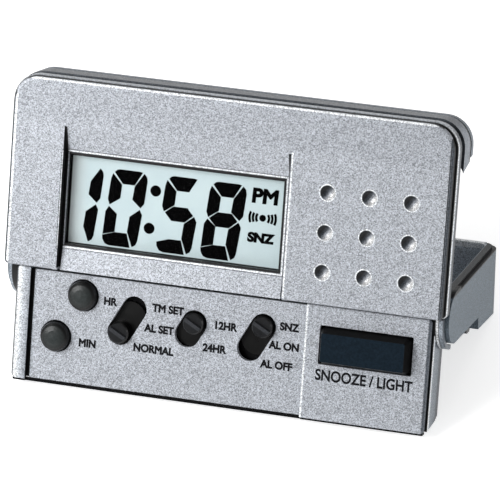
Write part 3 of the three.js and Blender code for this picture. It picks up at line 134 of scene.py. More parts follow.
class Nodes:
    """A material's node tree, with short calls for the nodes used here."""

    def __init__(self, name):
        self.material = bpy.data.materials.new(name)
        self.material.use_nodes = True
        self.tree = self.material.node_tree
        self.shader = self.tree.nodes["Principled BSDF"]

    def node(self, kind, **settings):
        """A new node with those settings."""
        made = self.tree.nodes.new(kind)
        for key, value in settings.items():
            setattr(made, key, value)
        return made

    def link(self, source, target):
        self.tree.links.new(source, target)

    def shade(self, **sources):
        """Links each source to the shader's socket of that name."""
        for key, source in sources.items():
            self.link(source, self.shader.inputs[key.replace("_", " ")])

    def set(self, **values):
        """Gives each of the shader's sockets of that name one value for the whole surface."""
        for key, value in values.items():
            self.shader.inputs[key.replace("_", " ")].default_value = value

    def coordinates(self):
        """The place on the piece, in metres."""
        return self.node("ShaderNodeTexCoord").outputs["Object"]

    def noise(self, scale, detail=2.0, roughness=0.5):
        """A cloudy value between 0 and 1, with so many patches per metre."""
        made = self.node("ShaderNodeTexNoise")
        made.inputs["Scale"].default_value = scale
        made.inputs["Detail"].default_value = detail
        made.inputs["Roughness"].default_value = roughness
        self.link(self.coordinates(), made.inputs["Vector"])
        return made.outputs["Fac"]

    def math(self, operation, a, b=None, clamp=False):
        """A sum on numbers, on outputs of other nodes, or on both."""
        made = self.node("ShaderNodeMath", operation=operation, use_clamp=clamp)
        for socket, value in zip(made.inputs, (a, b)):
            if value is None:
                continue
            if isinstance(value, (int, float)):
                socket.default_value = value
            else:
                self.link(value, socket)
        return made.outputs[0]

    def mix(self, factor, a, b, blend="MIX"):
        """Colour a where the factor is 0 and colour b where it is 1."""
        made = self.node("ShaderNodeMix", data_type="RGBA", blend_type=blend)
        for socket, value in ((made.inputs[0], factor), (made.inputs[6], a), (made.inputs[7], b)):
            if isinstance(value, (int, float)):
                socket.default_value = value
            elif isinstance(value, tuple):
                socket.default_value = (*value, 1)
            else:
                self.link(value, socket)
        return made.outputs[2]

    def ramp(self, factor, stops):
        """A colour that changes with a value from 0 to 1, by stops of (value, colour)."""
        made = self.node("ShaderNodeValToRGB")
        elements = made.color_ramp.elements
        while len(elements) < len(stops):
            elements.new(0.5)
        for element, (position, color) in zip(elements, stops):
            element.position = position
            element.color = (*color, 1)
        self.link(factor, made.inputs["Fac"])
        return made.outputs["Color"]

    def graded(self, place, start, end, stops):
        """A colour that changes with a place between start and end, by stops of (place, colour)."""
        length = end - start
        share = self.math("DIVIDE", self.math("SUBTRACT", place, start), length)
        return self.ramp(share, [((stop - start) / length, color) for stop, color in stops])

    def mottled(self, scale, dark, light, detail=2.0, roughness=0.5, spread=0.2):
        """Two tones in soft patches."""
        patches = self.noise(scale, detail, roughness)
        return self.ramp(patches, [(0.5 - spread, dark), (0.5 + spread, light)])

    def varied(self, source, least, spread):
        """A value that goes from the least up by the spread as the source goes from 0 to 1."""
        return self.math("ADD", self.math("MULTIPLY", source, spread), least)

    def bump(self, height, distance, strength):
        """A fine texture whose distance is in metres."""
        made = self.node("ShaderNodeBump")
        made.inputs["Strength"].default_value = strength
        made.inputs["Distance"].default_value = distance
        self.link(height, made.inputs["Height"])
        self.shade(Normal=made.outputs["Normal"])

    def along(self, axis, offset=0.0):
        """The place along one of the axes, counted from the offset."""
        made = self.node("ShaderNodeVectorMath", operation="DOT_PRODUCT")
        made.inputs[1].default_value = axis / MM
        self.link(self.coordinates(), made.inputs[0])
        return self.math("SUBTRACT", made.outputs["Value"], face_origin.dot(axis) / MM + offset)

    def above(self, value, low, soft=SOFT):
        """1 where the value is more than that, and 0 where it is less."""
        return self.math("MULTIPLY", self.math("SUBTRACT", value, low), 1 / soft, clamp=True)

    def below(self, value, high, soft=SOFT):
        """1 where the value is less than that, and 0 where it is more."""
        return self.math("MULTIPLY", self.math("SUBTRACT", high, value), 1 / soft, clamp=True)

    def band(self, value, low, high, soft=SOFT):
        """1 where the value lies between the two."""
        return self.all_of(self.above(value, low, soft), self.below(value, high, soft))

    def all_of(self, *masks):
        """1 where every mask is 1."""
        result = masks[0]
        for mask in masks[1:]:
            result = self.math("MULTIPLY", result, mask)
        return result

    def over(self, color, shade, *masks):
        """The colour, with the shade laid over it where every mask is 1."""
        return self.mix(self.all_of(*masks), color, shade)


# ---- Colours ----

SPREAD = 0.34  # how much darker than its palest flakes the paint is on average


def srgb(red, green, blue):
    """A colour given in screen values from 0 to 255."""

    def linear(value):
        share = value / 255
        return share / 12.92 if share <= 0.04045 else ((share + 0.055) / 1.055) ** 2.4

    return linear(red), linear(green), linear(blue)


def painted(red, green, blue):
    """A paint made paler than the colour wanted, as its darker flakes bring it back down."""
    return tuple(value / (1 - SPREAD) for value in srgb(red, green, blue))


def gray(level):
    return (level, level, level)


# Painted shadow: the black laid in seams, gaps, channels, steps and recesses.
SHADOW_BLACK = (0.004, 0.004, 0.005)
WHITE = gray(1.0)
SILVER = painted(173, 177, 184)
SHADED_SILVER = painted(166, 170, 177)
# Painted light and shade on the control panel: a highlight fading over the rail's shoulder, shade
# on the rail's side before its channel, and shade on the panel's right end.
RAIL_FADING_HIGHLIGHT = painted(196, 201, 207)
RAIL_SIDE_SHADE = painted(138, 144, 151)
PANEL_END_SHADE = painted(84, 90, 98)
# Painted highlight on edges, rims, rings and steps that face the light.
PAINTED_HIGHLIGHT = painted(238, 241, 244)
# Painted shade on edges turned away from the light.
PAINTED_EDGE_SHADE = srgb(84, 90, 98)
SHADOW_LINE = srgb(56, 61, 68)
GRAPHITE = painted(108, 117, 126)
FLANGE = painted(150, 158, 167)
CASE_SIDE = painted(126, 133, 142)
LOWER_CASE_FRONT = painted(136, 144, 153)
LOWER_CASE_BACK = painted(108, 116, 125)
LEDGE = painted(84, 89, 97)
# Painted highlight along the frame's top edge, and painted shade in the groove behind it.
TOP_EDGE_HIGHLIGHT = painted(186, 191, 198)
TOP_GROOVE_SHADE = srgb(84, 89, 96)
TRAY_OUTSIDE = painted(97, 109, 119)
# The stand's inside is painted paler than its outside: painted light that makes up for the shade
# inside the tray.
TRAY_INSIDE_PAINTED_LIGHT = painted(196, 202, 209)
# Painted dark reflection on the tops of the stand's side rims.
SIDE_RIM_DARK_REFLECTION = painted(58, 61, 64)

# ---- The bezel's paint ----

BEZEL_RIM = 0.9  # width of the rounded edge
EDGE_LINE = 0.08  # depths of the painted highlight and shade lines along the left, right and top edges, and of the painted shadow in the seam behind
RIGHT_EDGE_LINE = 0.12
TOP_EDGE_LINE = 0.45
BEZEL_SEAM = 0.55
SHADE_START = 32.2  # from here up the face is a little darker
SHADE_SOFT = 1.5
LEFT_CHANNEL = (-37.6, -36.85)  # the channels beside the display, painted black as shade, from and to, across and up
RIGHT_CHANNEL = (13.35, 14.1)
CHANNEL_SPAN = (0.5, 32.3)
CHANNEL_LIP = 0.12
# How wide the painted highlight along the right channel's outer edge is.
CHANNEL_GLINT = 0.4
RIDGE = (-36.9, -36.6)  # the thin ridge between the left channel and the display
RIDGE_OVERRUN = 0.3
RIDGE_DEPTH = 2.2
WINDOW_MARGIN = 1.3  # how far the bezel's window covers each edge of the display glass
WINDOW_SOFT = 0.08
WINDOW_RINGS = (  # painted shadow and highlight rings: from and to how far outside the window, and the colour
    (0.95, 1.15, SHADOW_LINE),
    (0.55, 0.92, PAINTED_HIGHLIGHT),
    (-0.5, 0.55, SHADOW_BLACK),
)
DIMPLE_GRID = ((31.91, 9.3), (15.85, 8.65))  # the middle and the pitch, across and up
DIMPLE_RADIUS = 1.65
# The width of the painted highlight ring round each dimple.
DIMPLE_RING = 0.3
DIMPLE_SOFT = 0.1
DIMPLE_SLOPE = (0.8, 0.6)  # how much paler the painted shading gets to the right and towards the bottom
DIMPLE_PAINTED_SHADING = (  # painted shade and highlight, from the dark side of a dimple to the pale one
    (0.26, srgb(12, 15, 20)),
    (0.45, srgb(76, 82, 90)),
    (0.62, srgb(173, 177, 184)),
    (0.8, WHITE),
)

bezel_right = extent("display_bezel", axis_x)[1]
bezel_top = extent("display_bezel", axis_u)[1]
glass_left, glass_right = extent("display_glass", axis_x)
glass_bottom, glass_top = extent("display_glass", axis_u)
window_x, window_u = (glass_left + glass_right) / 2, (glass_bottom + glass_top) / 2
window_half_width = (glass_right - glass_left) / 2 - WINDOW_MARGIN
window_half_height = (glass_top - glass_bottom) / 2 - WINDOW_MARGIN


def bezel_edges(nodes, color, across, up, depth):
    """Painted highlight and shade lines round the edge, and painted shadow in the seam behind it.
    """
    left = nodes.math("SUBTRACT", nodes.math("MULTIPLY", across, -1), bezel_right - BEZEL_RIM)
    right = nodes.math("SUBTRACT", across, bezel_right - BEZEL_RIM)
    top = nodes.math("SUBTRACT", up, bezel_top - BEZEL_RIM)
    for side, start, skin, shade in (
        (right, 0.05, nodes.below(depth, RIGHT_EDGE_LINE), SHADOW_LINE),
        (right, 0, nodes.above(depth, EDGE_LINE), PAINTED_EDGE_SHADE),
        (left, -0.3, nodes.below(depth, EDGE_LINE), PAINTED_HIGHLIGHT),
        (top, 0.3, nodes.below(depth, TOP_EDGE_LINE), PAINTED_HIGHLIGHT),
        (left, 0, nodes.above(depth, EDGE_LINE), SHADOW_LINE),
    ):
        color = nodes.over(color, shade, nodes.above(side, start), skin)
    outside = nodes.above(nodes.math("MAXIMUM", right, top), 0)
    return nodes.over(color, SHADOW_BLACK, outside, nodes.above(depth, BEZEL_SEAM))


def bezel_window(nodes, color, across, up, depth):
    """Painted shadow and highlight rings round the display, the two channels beside it painted
    black as shade with a painted highlight beyond the right one, and the ridge along the left one.
    """
    span = nodes.band(up, *CHANNEL_SPAN)
    glint = nodes.band(across, RIGHT_CHANNEL[1], RIGHT_CHANNEL[1] + CHANNEL_GLINT)
    color = nodes.over(color, PAINTED_HIGHLIGHT, glint, span)
    from_middle_x = nodes.math("ABSOLUTE", nodes.along(axis_x, window_x))
    from_middle_u = nodes.math("ABSOLUTE", nodes.along(axis_u, window_u))
    sideways = nodes.math("SUBTRACT", from_middle_x, window_half_width)
    upwards = nodes.math("SUBTRACT", from_middle_u, window_half_height)
    outside = nodes.math("MAXIMUM", sideways, upwards)
    for low, high, shade in WINDOW_RINGS:
        color = nodes.over(color, shade, nodes.band(outside, low, high, WINDOW_SOFT))
    for channel in (LEFT_CHANNEL, RIGHT_CHANNEL):
        sunken = nodes.above(depth, CHANNEL_LIP)
        color = nodes.over(color, SHADOW_BLACK, nodes.band(across, *channel), span, sunken)
    beside_window = nodes.below(upwards, RIDGE_OVERRUN)
    shallow = nodes.below(depth, RIDGE_DEPTH)
    return nodes.over(color, SILVER, nodes.band(across, *RIDGE), beside_window, shallow)


def dimple_offsets(nodes):
    """How far right of and above the middle of the nearest of the nine dimples a point is."""
    offsets = []
    for axis, (middle, pitch) in zip((axis_x, axis_u), DIMPLE_GRID):
        steps = nodes.math("DIVIDE", nodes.along(axis, middle), pitch)
        nearest = nodes.math("MAXIMUM", nodes.math("MINIMUM", nodes.math("ROUND", steps), 1), -1)
        offsets.append(nodes.math("MULTIPLY", nodes.math("SUBTRACT", steps, nearest), pitch))
    return offsets


def bezel_dimples(nodes, color):
    """A painted highlight ring round each dimple, and a hollow painted with shade at the upper left
    and highlight at the lower right.
    """
    across, up = dimple_offsets(nodes)
    squares = nodes.math("ADD", nodes.math("POWER", across, 2), nodes.math("POWER", up, 2))
    distance = nodes.math("SQRT", squares)
    ring = nodes.band(distance, DIMPLE_RADIUS, DIMPLE_RADIUS + DIMPLE_RING, DIMPLE_SOFT)
    color = nodes.over(color, PAINTED_HIGHLIGHT, ring)
    rightward = nodes.math("MULTIPLY", across, DIMPLE_SLOPE[0])
    upward = nodes.math("MULTIPLY", up, DIMPLE_SLOPE[1])
    slope = nodes.math("SUBTRACT", rightward, upward)
    share = nodes.math("ADD", nodes.math("DIVIDE", slope, 2 * DIMPLE_RADIUS), 0.5)
    return nodes.over(color, nodes.ramp(share, DIMPLE_PAINTED_SHADING), nodes.below(distance, DIMPLE_RADIUS))


def bezel_tint_with_painted_light(nodes):
    """Silver, a little darker along the top, with painted highlights and shade at its edges,
    window, channels and dimples.
    """
    across, up, depth = nodes.along(axis_x), nodes.along(axis_u), nodes.along(axis_n)
    color = nodes.mix(nodes.above(up, SHADE_START, SHADE_SOFT), SILVER, SHADED_SILVER)
    color = bezel_edges(nodes, color, across, up, depth)
    color = bezel_window(nodes, color, across, up, depth)
    return bezel_dimples(nodes, color)


# ---- The control panel's paint: places are counted from its left end ----

# How wide the painted shadow line along the panel's left end is.
PANEL_LEFT_SHADOW_LINE = 0.15
RAIL_RAMP = (-2.8, 97.2)  # so long that the ramp's own resolution softens the stripes
# Painted light and shade across the rail at the left: a shadow line at its outline, a highlight on
# its rounded edge fading over its shoulder, and shade on its side before the channel.
RAIL_STOPS = (
    (0.38, SHADOW_LINE),
    (0.45, PAINTED_HIGHLIGHT),
    (1.0, PAINTED_HIGHLIGHT),
    (1.8, RAIL_FADING_HIGHLIGHT),
    (2.4, SILVER),
    (3.3, RAIL_SIDE_SHADE),
    (4.1, RAIL_SIDE_SHADE),
    (4.4, SILVER),
)
# The rail's channel, painted black as shade.
RAIL_CHANNEL = (3.25, 4.17)
RAIL_CHANNEL_LIP = 0.15
# A painted highlight along the step.
PANEL_STEP = (66.49, 66.94)
# Painted shade on the panel's right end.
PANEL_END_WIDTH = 0.75
PANEL_END_SOFT = 0.3

panel_left, panel_right = extent("control_panel", axis_x)
panel_bottom = extent("control_panel", axis_u)[0]
panel_front = extent("control_panel", axis_n)[0]


def panel_tint_with_painted_light(nodes):
    """Silver, with painted highlight and shade along the rail at the left, painted shadow in the
    channel beside it and along the left end, a painted highlight on the step and painted shade on
    the right end.
    """
    across, depth = nodes.along(axis_x, panel_left), nodes.along(axis_n, panel_front)
    color = nodes.graded(across, *RAIL_RAMP, RAIL_STOPS)
    color = nodes.over(color, PAINTED_HIGHLIGHT, nodes.band(across, *PANEL_STEP))
    channel = nodes.band(across, *RAIL_CHANNEL)
    color = nodes.over(color, SHADOW_BLACK, channel, nodes.above(depth, RAIL_CHANNEL_LIP))
    end_start = panel_right - panel_left - PANEL_END_WIDTH
    color = nodes.over(color, PANEL_END_SHADE, nodes.above(across, end_start, PANEL_END_SOFT))
    return nodes.over(color, SHADOW_BLACK, nodes.below(across, PANEL_LEFT_SHADOW_LINE))


# ---- The case frame's paint: its stops are depths behind the front face ----

CASE_DEPTH = 16.0
# The stops hold the frame's own tones, painted highlights on its front edges, and painted shadow
# and shade in its seams, grooves and at its back edges.
SIDE_STOPS = (
    (1.92, SHADOW_BLACK),
    (1.98, PAINTED_HIGHLIGHT),
    (2.3, PAINTED_HIGHLIGHT),
    (2.45, FLANGE),
    (2.75, FLANGE),
    (2.9, PAINTED_EDGE_SHADE),
    (4.1, PAINTED_EDGE_SHADE),
    (4.25, SHADOW_LINE),
    (5.6, SHADOW_LINE),
    (5.75, CASE_SIDE),
    (9.6, CASE_SIDE),
    (10.0, SHADOW_BLACK),
)
TOP_STOPS = (
    (1.92, SHADOW_BLACK),
    (1.98, TOP_EDGE_HIGHLIGHT),
    (3.9, TOP_EDGE_HIGHLIGHT),
    (4.1, TOP_GROOVE_SHADE),
    (5.6, TOP_GROOVE_SHADE),
    (5.75, LEDGE),
)
LOWER_STOPS = (
    (3.95, SHADOW_BLACK),
    (4.05, PAINTED_HIGHLIGHT),
    (4.95, PAINTED_HIGHLIGHT),
    (5.15, LOWER_CASE_FRONT),
    (9.2, LOWER_CASE_BACK),
    (9.5, PAINTED_EDGE_SHADE),
)
TOP_FACE_WIDTH = 2.55
TOP_SOFT = 1.8
UPPER_START = -0.4
PANEL_CLEARANCE = 0.2
SHROUD_SEAM = 0.1
SHROUD_REACH = 2.7
LEFT_SHROUD_STOPS = (  # shares of the shroud's reach, outwards; the black is painted shadow in the gaps
    (0.5, SHADOW_BLACK),
    (0.56, FLANGE),
    (0.88, FLANGE),
    (0.94, SHADOW_BLACK),
)
# The right shroud also has a painted highlight and painted edge shade.
RIGHT_SHROUD_STOPS = (
    (0.1, SHADOW_BLACK),
    (0.14, PAINTED_HIGHLIGHT),
    (0.3, PAINTED_HIGHLIGHT),
    (0.34, SHADOW_BLACK),
    (0.4, FLANGE),
    (0.6, FLANGE),
    (0.8, PAINTED_EDGE_SHADE),
    (0.95, SHADOW_BLACK),
)

case_top = extent("case_frame", axis_u)[1]
shroud_start = panel_right + PANEL_CLEARANCE


def frame_tint_with_painted_light(nodes):
    """Graphite, with painted highlights on its front edges, painted shadow in the seams against the
    bezel, panel and ledge, and painted shadow, highlight and shade on the shrouds.
    """
    across, up, depth = nodes.along(axis_x), nodes.along(axis_u), nodes.along(axis_n)
    sides = nodes.graded(depth, 0, CASE_DEPTH, SIDE_STOPS)
    top = nodes.graded(depth, 0, CASE_DEPTH, TOP_STOPS)
    lower = nodes.graded(depth, 0, CASE_DEPTH, LOWER_STOPS)
    upper = nodes.over(sides, top, nodes.above(up, case_top - TOP_FACE_WIDTH, TOP_SOFT))
    color = nodes.mix(nodes.math("GREATER_THAN", up, UPPER_START), lower, upper)
    outward = nodes.math("SUBTRACT", nodes.math("ABSOLUTE", across), shroud_start)
    share = nodes.math("DIVIDE", outward, SHROUD_REACH)
    left_shroud = nodes.ramp(share, LEFT_SHROUD_STOPS)
    right_shroud = nodes.ramp(share, RIGHT_SHROUD_STOPS)
    shroud = nodes.mix(nodes.math("GREATER_THAN", across, 0), left_shroud, right_shroud)
    lower_half = nodes.below(up, UPPER_START)
    return nodes.over(color, shroud, nodes.above(outward, SHROUD_SEAM), lower_half)


# ---- The stand's paint: places are counted in from its sides, its far end and its top ----

SIDE_WALL = 2.3
END_WALL = 1.6
DEEP_LENGTH = 14.5
SHALLOW_DEPTH = 11.2
DEEP_DEPTH = 14.8
# A painted highlight on the far rim.
FAR_RIM_WIDTH = 2.2
FAR_RIM_DEPTH = 1.3
FAR_RIM_INSET = 2.85
# A painted dark reflection on the side rims' tops.
SIDE_RIM_WIDTH = 2.35
SIDE_RIM_DEPTH = 0.9
# Painted shadow in the step outside the side rims.
REBATE_WIDTH = 0.95
REBATE_DEPTH = 0.68

stand_right = extent("stand", axis_x)[1]
stand_end = extent("stand", stand_reach)[1]
stand_top = extent("stand", stand_rise)[1]


def stand_tint_with_painted_light(nodes):
    """Graphite, with painted light making the inside paler, a painted highlight on the far rim, a
    painted dark reflection on the side rims' tops and painted shadow in the step outside them.
    """
    from_side = nodes.math("SUBTRACT", stand_right, nodes.math("ABSOLUTE", nodes.along(axis_x)))
    from_end = nodes.math("SUBTRACT", stand_end, nodes.along(stand_reach))
    from_top = nodes.math("SUBTRACT", stand_top, nodes.along(stand_rise))
    deep = nodes.math("LESS_THAN", from_end, DEEP_LENGTH)
    floor_depth = nodes.varied(deep, SHALLOW_DEPTH, DEEP_DEPTH - SHALLOW_DEPTH)
    hollow = nodes.all_of(
        nodes.math("GREATER_THAN", from_side, SIDE_WALL),
        nodes.math("GREATER_THAN", from_end, END_WALL),
        nodes.math("LESS_THAN", from_top, floor_depth),
    )
    color = nodes.mix(hollow, TRAY_OUTSIDE, TRAY_INSIDE_PAINTED_LIGHT)
    far_end = nodes.below(from_end, FAR_RIM_WIDTH)
    far_rim = nodes.all_of(far_end, nodes.below(from_top, FAR_RIM_DEPTH))
    color = nodes.over(color, PAINTED_HIGHLIGHT, far_rim, nodes.above(from_side, FAR_RIM_INSET))
    side_rim = nodes.below(from_side, SIDE_RIM_WIDTH)
    color = nodes.over(color, SIDE_RIM_DARK_REFLECTION, side_rim, nodes.below(from_top, SIDE_RIM_DEPTH))
    rebate = nodes.below(from_side, REBATE_WIDTH)
    return nodes.over(color, SHADOW_BLACK, rebate, nodes.below(from_top, REBATE_DEPTH))


# ---- The display's face ----

DISPLAY_DARK = srgb(207, 226, 230)
DISPLAY_LIGHT = srgb(215, 233, 236)
# Painted light that whitens the display's left end against the shade of the bezel's left wall: the
# colour, how far it reaches and how softly it fades.
DISPLAY_LEFT_END_PAINTED_LIGHT = srgb(238, 249, 250)
LEFT_END_WIDTH = 5.5
LEFT_END_FADE = 4.2
# Painted shadow along the display's edges under the window's rim: its width at the sides, bottom
# and top.
SIDE_EDGE_SHADOW = 0.3
BOTTOM_EDGE_SHADOW = 0.15
TOP_EDGE_SHADOW = 0.6
EDGE_SHADOW_SOFT = 0.1


def display_surface(name):
    """The pale face of the liquid crystal glass, with painted light whitening its left end and a
    painted shadow along its edges.
    """
    nodes = Nodes(name)
    color = nodes.mottled(140.0, DISPLAY_DARK, DISPLAY_LIGHT)
    leftward = nodes.math("SUBTRACT", glass_left + LEFT_END_WIDTH, nodes.along(axis_x))
    fade = nodes.math("DIVIDE", leftward, LEFT_END_FADE, clamp=True)
    color = nodes.mix(fade, color, DISPLAY_LEFT_END_PAINTED_LIGHT)
    across, up = nodes.along(axis_x, window_x), nodes.along(axis_u, window_u)
    for edge_shadow in (
        nodes.below(across, SIDE_EDGE_SHADOW - window_half_width, EDGE_SHADOW_SOFT),
        nodes.above(across, window_half_width - SIDE_EDGE_SHADOW, EDGE_SHADOW_SOFT),
        nodes.below(up, BOTTOM_EDGE_SHADOW - window_half_height, EDGE_SHADOW_SOFT),
        nodes.above(up, window_half_height - TOP_EDGE_SHADOW, EDGE_SHADOW_SOFT),
    ):
        color = nodes.over(color, SHADOW_BLACK, edge_shadow)
    nodes.shade(Base_Color=color)
    nodes.set(Roughness=0.32)
    return nodes


# ---- Finishes: noise scales are per metre, and bump distances are in metres ----

PEEL_SCALE, PEEL_DISTANCE = 2600.0, 0.00002
MOULD_SCALE, MOULD_DISTANCE = 900.0, 0.00003
RUBBER_SCALE, RUBBER_DISTANCE = 700.0, 0.00005
CROWN_SCALE = 1800.0
SCRATCH_SCALE = 1500.0
WEAVE_SCALE = 320.0
SMUDGE_SCALE = 400.0
INK_SCALE = 3000.0


def metallic_paint(name, tint, metallic, roughness, grain):
    """Sprayed metallic paint: fine flakes that differ in tone, and a faint orange-peel surface."""
    nodes = Nodes(name)
    flakes = nodes.node("ShaderNodeTexVoronoi", feature="F1")
    flakes.inputs["Scale"].default_value = 1 / (grain * MM)
    nodes.link(nodes.coordinates(), flakes.inputs["Vector"])
    split = nodes.node("ShaderNodeSeparateColor")
    nodes.link(flakes.outputs["Color"], split.inputs[0])
    cloud = nodes.noise(1 / (4 * grain * MM), 3.0, 0.6)
    flake_tone = nodes.math("MULTIPLY", split.outputs[0], 0.9)
    tone = nodes.math("ADD", flake_tone, nodes.math("MULTIPLY", cloud, 0.1))
    shades = nodes.ramp(tone, [(0.1, gray(1 - 2 * SPREAD)), (0.5, gray(1 - SPREAD)), (0.9, WHITE)])
    nodes.shade(
        Base_Color=nodes.mix(1.0, shades, tint(nodes), "MULTIPLY"),
        Roughness=nodes.varied(split.outputs[1], roughness - 0.1, 0.2),
    )
    nodes.set(Metallic=metallic)
    nodes.bump(nodes.noise(PEEL_SCALE), PEEL_DISTANCE, 0.35)
    return nodes


def plastic(name, tint, roughness, scale, distance):
    """Plastic or rubber with a tint of its own, a slightly uneven gloss and a fine texture."""
    nodes = Nodes(name)
    gloss = nodes.varied(nodes.noise(scale / 3), roughness - 0.07, 0.15)
    nodes.shade(Base_Color=tint(nodes), Roughness=gloss)
    nodes.bump(nodes.noise(scale * 4), distance, 0.5)
    return nodes


def moulded(name, dark, light, roughness, scale=MOULD_SCALE, distance=MOULD_DISTANCE):
    """Moulded plastic or rubber with a slight mottle in tone."""
    return plastic(
        name, lambda nodes: nodes.mottled(scale, dark, light, 4.0, 0.6), roughness, scale, distance
    )


def crowned(name, pale, node, crown, rim, roughness, scale=MOULD_SCALE, distance=MOULD_DISTANCE):
    """Moulded: pale down to the crown's depth behind the front, black from the rim's depth on, the
    black being painted shade on its sides.
    """

    def tint(nodes):
        depth = nodes.along(axis_n, extent(node, axis_n)[0])
        shade = nodes.graded(depth, crown, rim, [(crown, pale), (rim, gray(0.001))])
        mottle = nodes.mottled(CROWN_SCALE, gray(0.72), gray(1.15), 3.0, 0.7, 0.15)
        return nodes.mix(1.0, shade, mottle, "MULTIPLY")

    return plastic(name, tint, roughness, scale, distance)


def metal(name, tint, roughness):
    """Plated metal with fine scratches."""
    nodes = Nodes(name)
    scratches = nodes.noise(SCRATCH_SCALE, 4.0, 0.7)
    darker = tuple(0.8 * value for value in tint)
    nodes.shade(
        Base_Color=nodes.ramp(scratches, [(0.25, darker), (0.75, tint)]),
        Roughness=nodes.varied(scratches, roughness - 0.1, 0.2),
    )
    nodes.set(Metallic=1.0)
    return nodes


def board(name):
    """A green circuit board with a woven look."""
    nodes = Nodes(name)
    weave = nodes.node("ShaderNodeTexBrick")
    weave.inputs["Scale"].default_value = WEAVE_SCALE
    weave.inputs["Color1"].default_value = (0.015, 0.12, 0.04, 1)
    weave.inputs["Color2"].default_value = (0.02, 0.15, 0.05, 1)
    weave.inputs["Mortar"].default_value = (0.03, 0.2, 0.08, 1)
    nodes.link(nodes.coordinates(), weave.inputs["Vector"])
    nodes.shade(Base_Color=weave.outputs["Color"])
    nodes.set(Roughness=0.35)
    return nodes


def clear(name):
    """A nearly invisible window with faint smudges."""
    nodes = Nodes(name)
    smudge = nodes.noise(SMUDGE_SCALE, 3.0)
    nodes.shade(
        Base_Color=nodes.ramp(smudge, [(0.0, gray(0.02)), (1.0, gray(0.03))]),
        Roughness=nodes.varied(smudge, 0.03, 0.05),
    )
    nodes.set(Alpha=0.03)
    return nodes


def printed(name, tone, specular):
    """Ink: nearly flat, with a slight mottle."""
    nodes = Nodes(name)
    darker = tuple(0.7 * value for value in tone)
    nodes.shade(Base_Color=nodes.mottled(INK_SCALE, darker, tone))
    nodes.set(Roughness=0.55, Specular_IOR_Level=specular)
    return nodes


black_plastic = moulded("black_plastic", (0.002, 0.002, 0.0025), (0.006, 0.006, 0.007), 0.26)
black_rubber = moulded(
    "black_rubber",
    (0.006, 0.0065, 0.006),
    (0.016, 0.017, 0.016),
    0.34,
    RUBBER_SCALE,
    RUBBER_DISTANCE,
)
# On the buttons and knobs the pale crown is a painted sheen; on the snooze button the pale is its
# own slate colour. On all three the black is painted shade.
button_rubber = crowned(
    "button_rubber", srgb(48, 53, 53), "hour_button", 0, 0.55, 0.34, RUBBER_SCALE, RUBBER_DISTANCE
)
knob_plastic = crowned("knob_plastic", srgb(53, 55, 59), "alarm_knob", 0.1, 0.9, 0.3)
snooze_plastic = crowned("snooze_plastic", srgb(22, 34, 44), "snooze_button", 0.05, 0.2, 0.4)
for finish, specular in (
    (black_plastic, 0.15),
    (button_rubber, 0.3),
    (knob_plastic, 0.3),
    (snooze_plastic, 0.06),
):
    finish.set(Specular_IOR_Level=specular)
label_ink = printed("label_ink", (0.012, 0.012, 0.014), 0.05)
segment_ink = printed("display_segment", (0.001, 0.001, 0.0012), 0.0)

SLOT_FINISH = {
    "silver_plastic": metallic_paint("silver_paint", bezel_tint_with_painted_light, 0.25, 0.48, 0.18),
    "graphite_plastic": metallic_paint("graphite_paint", lambda nodes: GRAPHITE, 0.3, 0.42, 0.2),
    "black_plastic": black_plastic,
    "slate_plastic": snooze_plastic,
    "black_rubber": black_rubber,
    "steel": metal("plated_steel", (0.62, 0.63, 0.65), 0.3),
    "clear_plastic": clear("clear_window"),
    "display": display_surface("display_face"),
    "white_plastic": moulded("white_plastic", (0.75, 0.76, 0.74), (0.85, 0.86, 0.84), 0.4),
    "connector_rubber": moulded("connector_rubber", (0.45, 0.4, 0.3), (0.6, 0.54, 0.42), 0.7),
    "circuit_board": board("circuit_board"),
    "ribbon": moulded("ribbon_film", (0.01, 0.008, 0.006), (0.018, 0.014, 0.01), 0.4),
    "brass": metal("brass", (0.7, 0.52, 0.24), 0.3),
    "red_plastic": moulded("red_wire", (0.3, 0.01, 0.01), (0.4, 0.02, 0.02), 0.4),
    "cell_jacket": moulded("cell_sleeve", (0.03, 0.045, 0.06), (0.05, 0.07, 0.09), 0.3),
}
OWN_FINISH = {
    "control_panel": metallic_paint("panel_paint", panel_tint_with_painted_light, 0.25, 0.48, 0.18),
    "case_frame": metallic_paint("frame_paint", frame_tint_with_painted_light, 0.3, 0.4, 0.16),
    "stand": metallic_paint("tray_paint", stand_tint_with_painted_light, 0.3, 0.45, 0.13),
    "hour_button": button_rubber,
    "minute_button": button_rubber,
    "time_set_knob": knob_plastic,
    "hour_format_knob": knob_plastic,
    "alarm_knob": knob_plastic,
}
SMOOTH_ANGLE = math.radians(32)

for part in frame["record"]["subparts"]:
    piece = frame["nodes"][part["node"]]
    finish = OWN_FINISH.get(part["node"]) or SLOT_FINISH[part["material_slot"]]
    piece.data.materials.clear()
    piece.data.materials.append(finish.material)
    piece.data.shade_smooth()
    split_edges = piece.modifiers.new("split", "EDGE_SPLIT")
    split_edges.split_angle = SMOOTH_ANGLE

# ---- Thin pieces that ride on the case ----

GLASS_LIFT = 0.03
SINK_DEPTH = 0.8
SEGMENT_THICKNESS = 0.02
INK_LIFT = 0.012
INK_THICKNESS = 0.008
INK_FLATNESS = 0.3
CAPITAL_SHARE = 0.69  # the height of a capital as a share of the font's size

display_plane = extent("display_glass", axis_n)[0] - GLASS_LIFT
sunken_plane = panel_front + SINK_DEPTH


def add_prism(shell, low_points, high_points):
    """A closed prism between two rings of points, in metres."""
    low = [shell.verts.new(point) for point in low_points]
    high = [shell.verts.new(point) for point in high_points]
    shell.faces.new(high)
    shell.faces.new(low[::-1])
    for index, vertex in enumerate(low):
        following = (index + 1) % len(low)
        shell.faces.new((vertex, low[following], high[following], high[index]))


